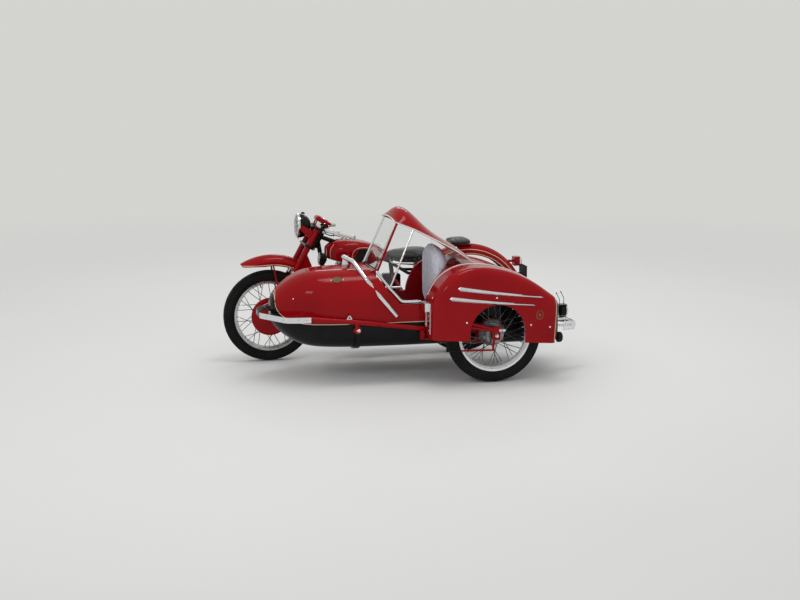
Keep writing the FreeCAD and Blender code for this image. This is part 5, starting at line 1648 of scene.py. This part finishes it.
def makeNoseCrest():
    # cream line over the crest of the nose, from side to side
    body = surfaceOf("body_upper")
    low, high = noseCrest["sweep"]
    hits = []
    for i in range(41):
        angle = math.radians(low + (high - low) * i / 40)
        x = bodyLine["cornerX"] - bodyLine["reachX"] + noseCrest["bulge"] * max(0.0, math.sin(angle))
        out = towards(right, up, angle)
        hits += landings(body, [at(x, sidecarMiddle, noseCrest["height"]) + out * 0.4], -out)
    newPiece("noseCrestLine", *ribbon(hits, bodyLine["width"] * mm, 0.0004), creamLine, "outfit")


fittings = {
    "hookAt": (403, -922, 449),
    "hookHalf": 3,
    "hook": [(-20, 0), (20, 0), (6, 25), (-6, 25)],
    "hookHole": [(-9, 5), (9, 5), (2.5, 18), (-2.5, 18)],
    "bracketNutAt": (466, 330, 372),
    "bracketNut": [(0, 0), (0, 15), (3, 16), (6, 13), (14, 11), (18, 7), (19, 0)],
    "shackleAt": (1398, -1119, 366),
    "shackle": [(-8, 0), (-8, 9), (0, 11), (6, 11), (8, 8), (14, 8), (16, 12), (30, 12), (38, 8), (40, 0)],
    "axleNutAt": (1376, -1120, 330),
    "axleNut": [(0, 0), (0, 15), (6, 15), (9, 12), (14, 10), (16, 0)],
    "bumperBolts": (-135, -40, 52, 108),
    "bumperLevel": 459,
    "bumperBolt": (6.5, 6.5, 3),
    "latchTop": (913, 548),
    "latchTopBolts": (40, 70, 110, 130),             # out from the side of the body
    "latchFront": 921.5,
    "latchFrontBolts": [(138, 372), (138, 470), (42, 400), (42, 476)],
    "latchScrew": (5.5, 5.5, 3),
    "tailBolts": (2076, 112, 300),
    "tailBolt": (9, 9, 6),
    "matFrom": 330,
    "matPitch": 13,
    "matRibs": 36,
    "matRib": (7, 270, 7),
}


def makeRailHook():
    # flat hook with a hole through it
    x0, y0, z0 = fittings["hookAt"]
    half = fittings["hookHalf"]
    verts = [at(x0 + x, y, z0 + z) for y in (y0 - half, y0 + half)
             for x, z in fittings["hook"] + fittings["hookHole"]]
    faces = []
    for k in range(4):
        n = (k + 1) % 4
        faces += [(k, n, 4 + n, 4 + k), (8 + k, 12 + k, 12 + n, 8 + n), (k, 8 + k, 8 + n, n),
                  (4 + k, 4 + n, 12 + n, 12 + k)]
    newPiece("railHook", verts, faces, chrome, "outfit", smooth=False)


def makeFittings():
    x, y, z = fittings["bracketNutAt"]
    nuts = [lathe(at(x, sidecarMiddle + side * y, z), right * side, fittings["bracketNut"], 32)
            for side in (-1, 1)]
    newPiece("bracketNuts", *joinParts(nuts), chrome, "outfit")
    spot = at(*fittings["shackleAt"])
    turnedPiece("armShackle", spot, rearward, fittings["shackle"], 36, chrome, "outfit")
    turnedPiece("sideAxleNut", at(*fittings["axleNutAt"]), -right, fittings["axleNut"], 6, chrome, "outfit")
    skin = surfaceOf("nose_bumper")
    bolts = []
    for side in (-1, 1):
        starts = [at(x, sidecarMiddle + side * 420, fittings["bumperLevel"]) for x in fittings["bumperBolts"]]
        bolts += placesOn(skin, starts, right * -side, rearward)
    repeatPieces("bumperBolts", "dome", bolts, fittings["bumperBolt"], dullChrome, "outfit", 16)


def makeBodyBolts():
    # screws of the latch bracket and bolts of the tail
    edge = sidecarMiddle - 300
    x, z = fittings["latchTop"]
    screws = [(at(x, edge - out, z), up, rearward) for out in fittings["latchTopBolts"]]
    screws += [(at(fittings["latchFront"], edge - out, height), -rearward, right)
               for out, height in fittings["latchFrontBolts"]]
    repeatPieces("latchScrews", "dome", screws, fittings["latchScrew"], dullChrome, "outfit", 16)
    x, y, z = fittings["tailBolts"]
    bolts = [(at(x, sidecarMiddle + side * y, z), rearward, right) for side in (-1, 1)]
    repeatPieces("tailBolts", "bolt", bolts, fittings["tailBolt"], chrome, "outfit", 6, False)


def makeFloorMat():
    level = landOn(surfaceOf("hull_lower"), at(600, sidecarMiddle, 400), down)[0].z
    ribs = []
    for k in range(fittings["matRibs"]):
        spot = at(fittings["matFrom"] + fittings["matPitch"] * k, sidecarMiddle, 0)
        spot.z = level + 0.0035
        ribs.append((spot, up, right))
    repeatPieces("floorMatRibs", "block", ribs, fittings["matRib"], blackRubber, "outfit", smooth=False)


def makeFenderRearLine():
    line = sideLine(surfaceOf("fender"), fenderTrim["rearLine"], sidecarMiddle - 300, -1,
                    fenderTrim["rearLineWidth"], 0.4, 8)
    newPiece("fenderRearLine", *line, creamLine, "outfit")


canopy = {
    "edge": [(750, 1080, 199), (860, 1036, 228), (957, 988, 240), (1079, 924, 250), (1180, 866, 256),
             (1283, 793, 262)],
    "front": (748, 199, 1080, 18),     # place, half width, height and rise in the middle
    "bead": 4.6,
    "sill": (617, 203, 758),
    "sillRubber": 4.2,
    "studs": [(849, -97), (849, 97), (1200, -120), (1200, 120)],
    "stud": (6, 6, 3.5),
}


def makeCanopyTrim():
    beads = []
    for side in (-1, 1):
        route = smoothRoute([at(x, sidecarMiddle + side * half, z) for x, z, half in canopy["edge"]])
        beads.append(pipe(route, canopy["bead"] * mm))
    x, half, z, rise = canopy["front"]
    front = [at(x, sidecarMiddle + half * k / 10, z + rise * (1 - (k / 10) ** 2)) for k in range(-10, 11)]
    beads.append(pipe(front, canopy["bead"] * mm))
    newPiece("roofBead", *joinParts(beads), whiteBead, "canopy")
    x, half, z = canopy["sill"]
    sill = [at(x, sidecarMiddle + half * k / 6, z) for k in range(-6, 7)]
    newPiece("screenRubber", *pipe(sill, canopy["sillRubber"] * mm), blackRubber, "canopy")
    starts = [at(x, sidecarMiddle + aside, 1300) for x, aside in canopy["studs"]]
    studs = placesOn(surfaceOf("canopy_roof"), starts, down, rearward)
    repeatPieces("roofStuds", "dome", studs, canopy["stud"], chrome, "canopy", 18)


makeNoseBadge()
makeShield()
makeNoseCrest()
makeRailHook()
makeFittings()
makeCanopyTrim()
makeFenderRearLine()
makeFloorMat()
makeBodyBolts()
print("sidecar fitted out")


# room, light and camera

room = {
    "floor": (0.755, 0.755, 0.75),
    "wall": (0.655, 0.66, 0.635),
    "worldLight": 0.80,
    "clear": (4.6, 9.5),         # the floor fades into the wall's colour between these radii
    "rings": [0, 1.5, 3, 4.5, 6, 8, 10, 14, 20, 30],
}
lamps = {
    "ceiling": {"spot": (0.2, -0.3, 4.6), "aim": (0.0, 0.0, 0.0), "size": (2.4, 0.9), "power": 44},
    "window": {"spot": (-3.2, -3.8, 3.6), "aim": (0.0, -0.2, 0.5), "size": (1.1, 0.7), "power": 18},
    "back": {"spot": (1.2, 4.6, 3.6), "aim": (0.0, 0.0, 0.6), "size": (2.4, 0.7), "power": 20},
}


def makeFloor():
    verts, faces = lathe(Vector(), up, [(0, radius * 1000) for radius in room["rings"]], 64, rearward)
    mesh = bpy.data.meshes.new("floor")
    mesh.from_pydata([tuple(v) for v in verts], [], faces)
    mat, tree, shader = startFinish("studio floor")
    shadow = tuple(part * 0.985 for part in room["floor"])
    setColour(tree, shader, mottle(tree, 0.7, 5, shadow, room["floor"]))
    setSockets(shader, {"Roughness": 0.6, "Specular IOR Level": 0.2})
    split = axes(tree, (0, 0, 0))
    fade = spread(tree, distance(tree, split[0], split[1]), 0, 1, *room["clear"])
    see = tree.nodes.new("ShaderNodeBsdfTransparent")
    mixShaders(tree, fade, shader, see, tree.nodes["Material Output"])
    mesh.materials.append(mat)
    addItem("floor", mesh)


def makeWorld():
    # plain light from all round, and the wall's colour where it is seen or reflected
    world = bpy.data.worlds.new("studio")
    bpy.context.scene.world = world
    world.use_nodes = True
    tree = world.node_tree
    tree.nodes.clear()
    ray = tree.nodes.new("ShaderNodeLightPath")
    seen = anyOf(tree, *[ray.outputs["Is " + kind + " Ray"] for kind in ("Camera", "Glossy", "Transmission")])
    light = addNode(tree, "ShaderNodeBackground", {"Color": (1, 1, 1, 1), "Strength": room["worldLight"]})
    wall = addNode(tree, "ShaderNodeBackground", {"Color": (*room["wall"], 1), "Strength": 1.0})
    mixShaders(tree, seen, light, wall, tree.nodes.new("ShaderNodeOutputWorld"))


def makeLamps():
    for name, lamp in lamps.items():
        data = bpy.data.lights.new(name, "AREA")
        data.shape = "RECTANGLE"
        data.size, data.size_y = lamp["size"]
        data.energy = lamp["power"]
        item = addItem(name, data)
        item.location = lamp["spot"]
        way = Vector(lamp["aim"]) - Vector(lamp["spot"])
        item.rotation_euler = way.to_track_quat("-Z", "Y").to_euler()


viewpoint = {
    "turn": 13.5,            # degrees ahead of square on
    "tilt": 10.08,           # degrees down
    "lens": 72,
    "place": (-1729, -11254, 2456),
}


def makeCamera():
    level = towards(right, rearward, math.radians(viewpoint["turn"]))
    ahead = towards(level, down, math.radians(viewpoint["tilt"]))
    data = bpy.data.cameras.new("camera")
    data.lens = viewpoint["lens"]
    data.sensor_width = 36
    data.clip_end = 200
    camera = addItem("camera", data)
    camera.location = at(*viewpoint["place"])
    camera.rotation_euler = ahead.to_track_quat("-Z", "Y").to_euler()
    bpy.context.scene.camera = camera


makeFloor()
makeWorld()
makeLamps()
makeCamera()
bpy.context.scene.view_settings.view_transform = "Standard"
print("room, light and camera set")
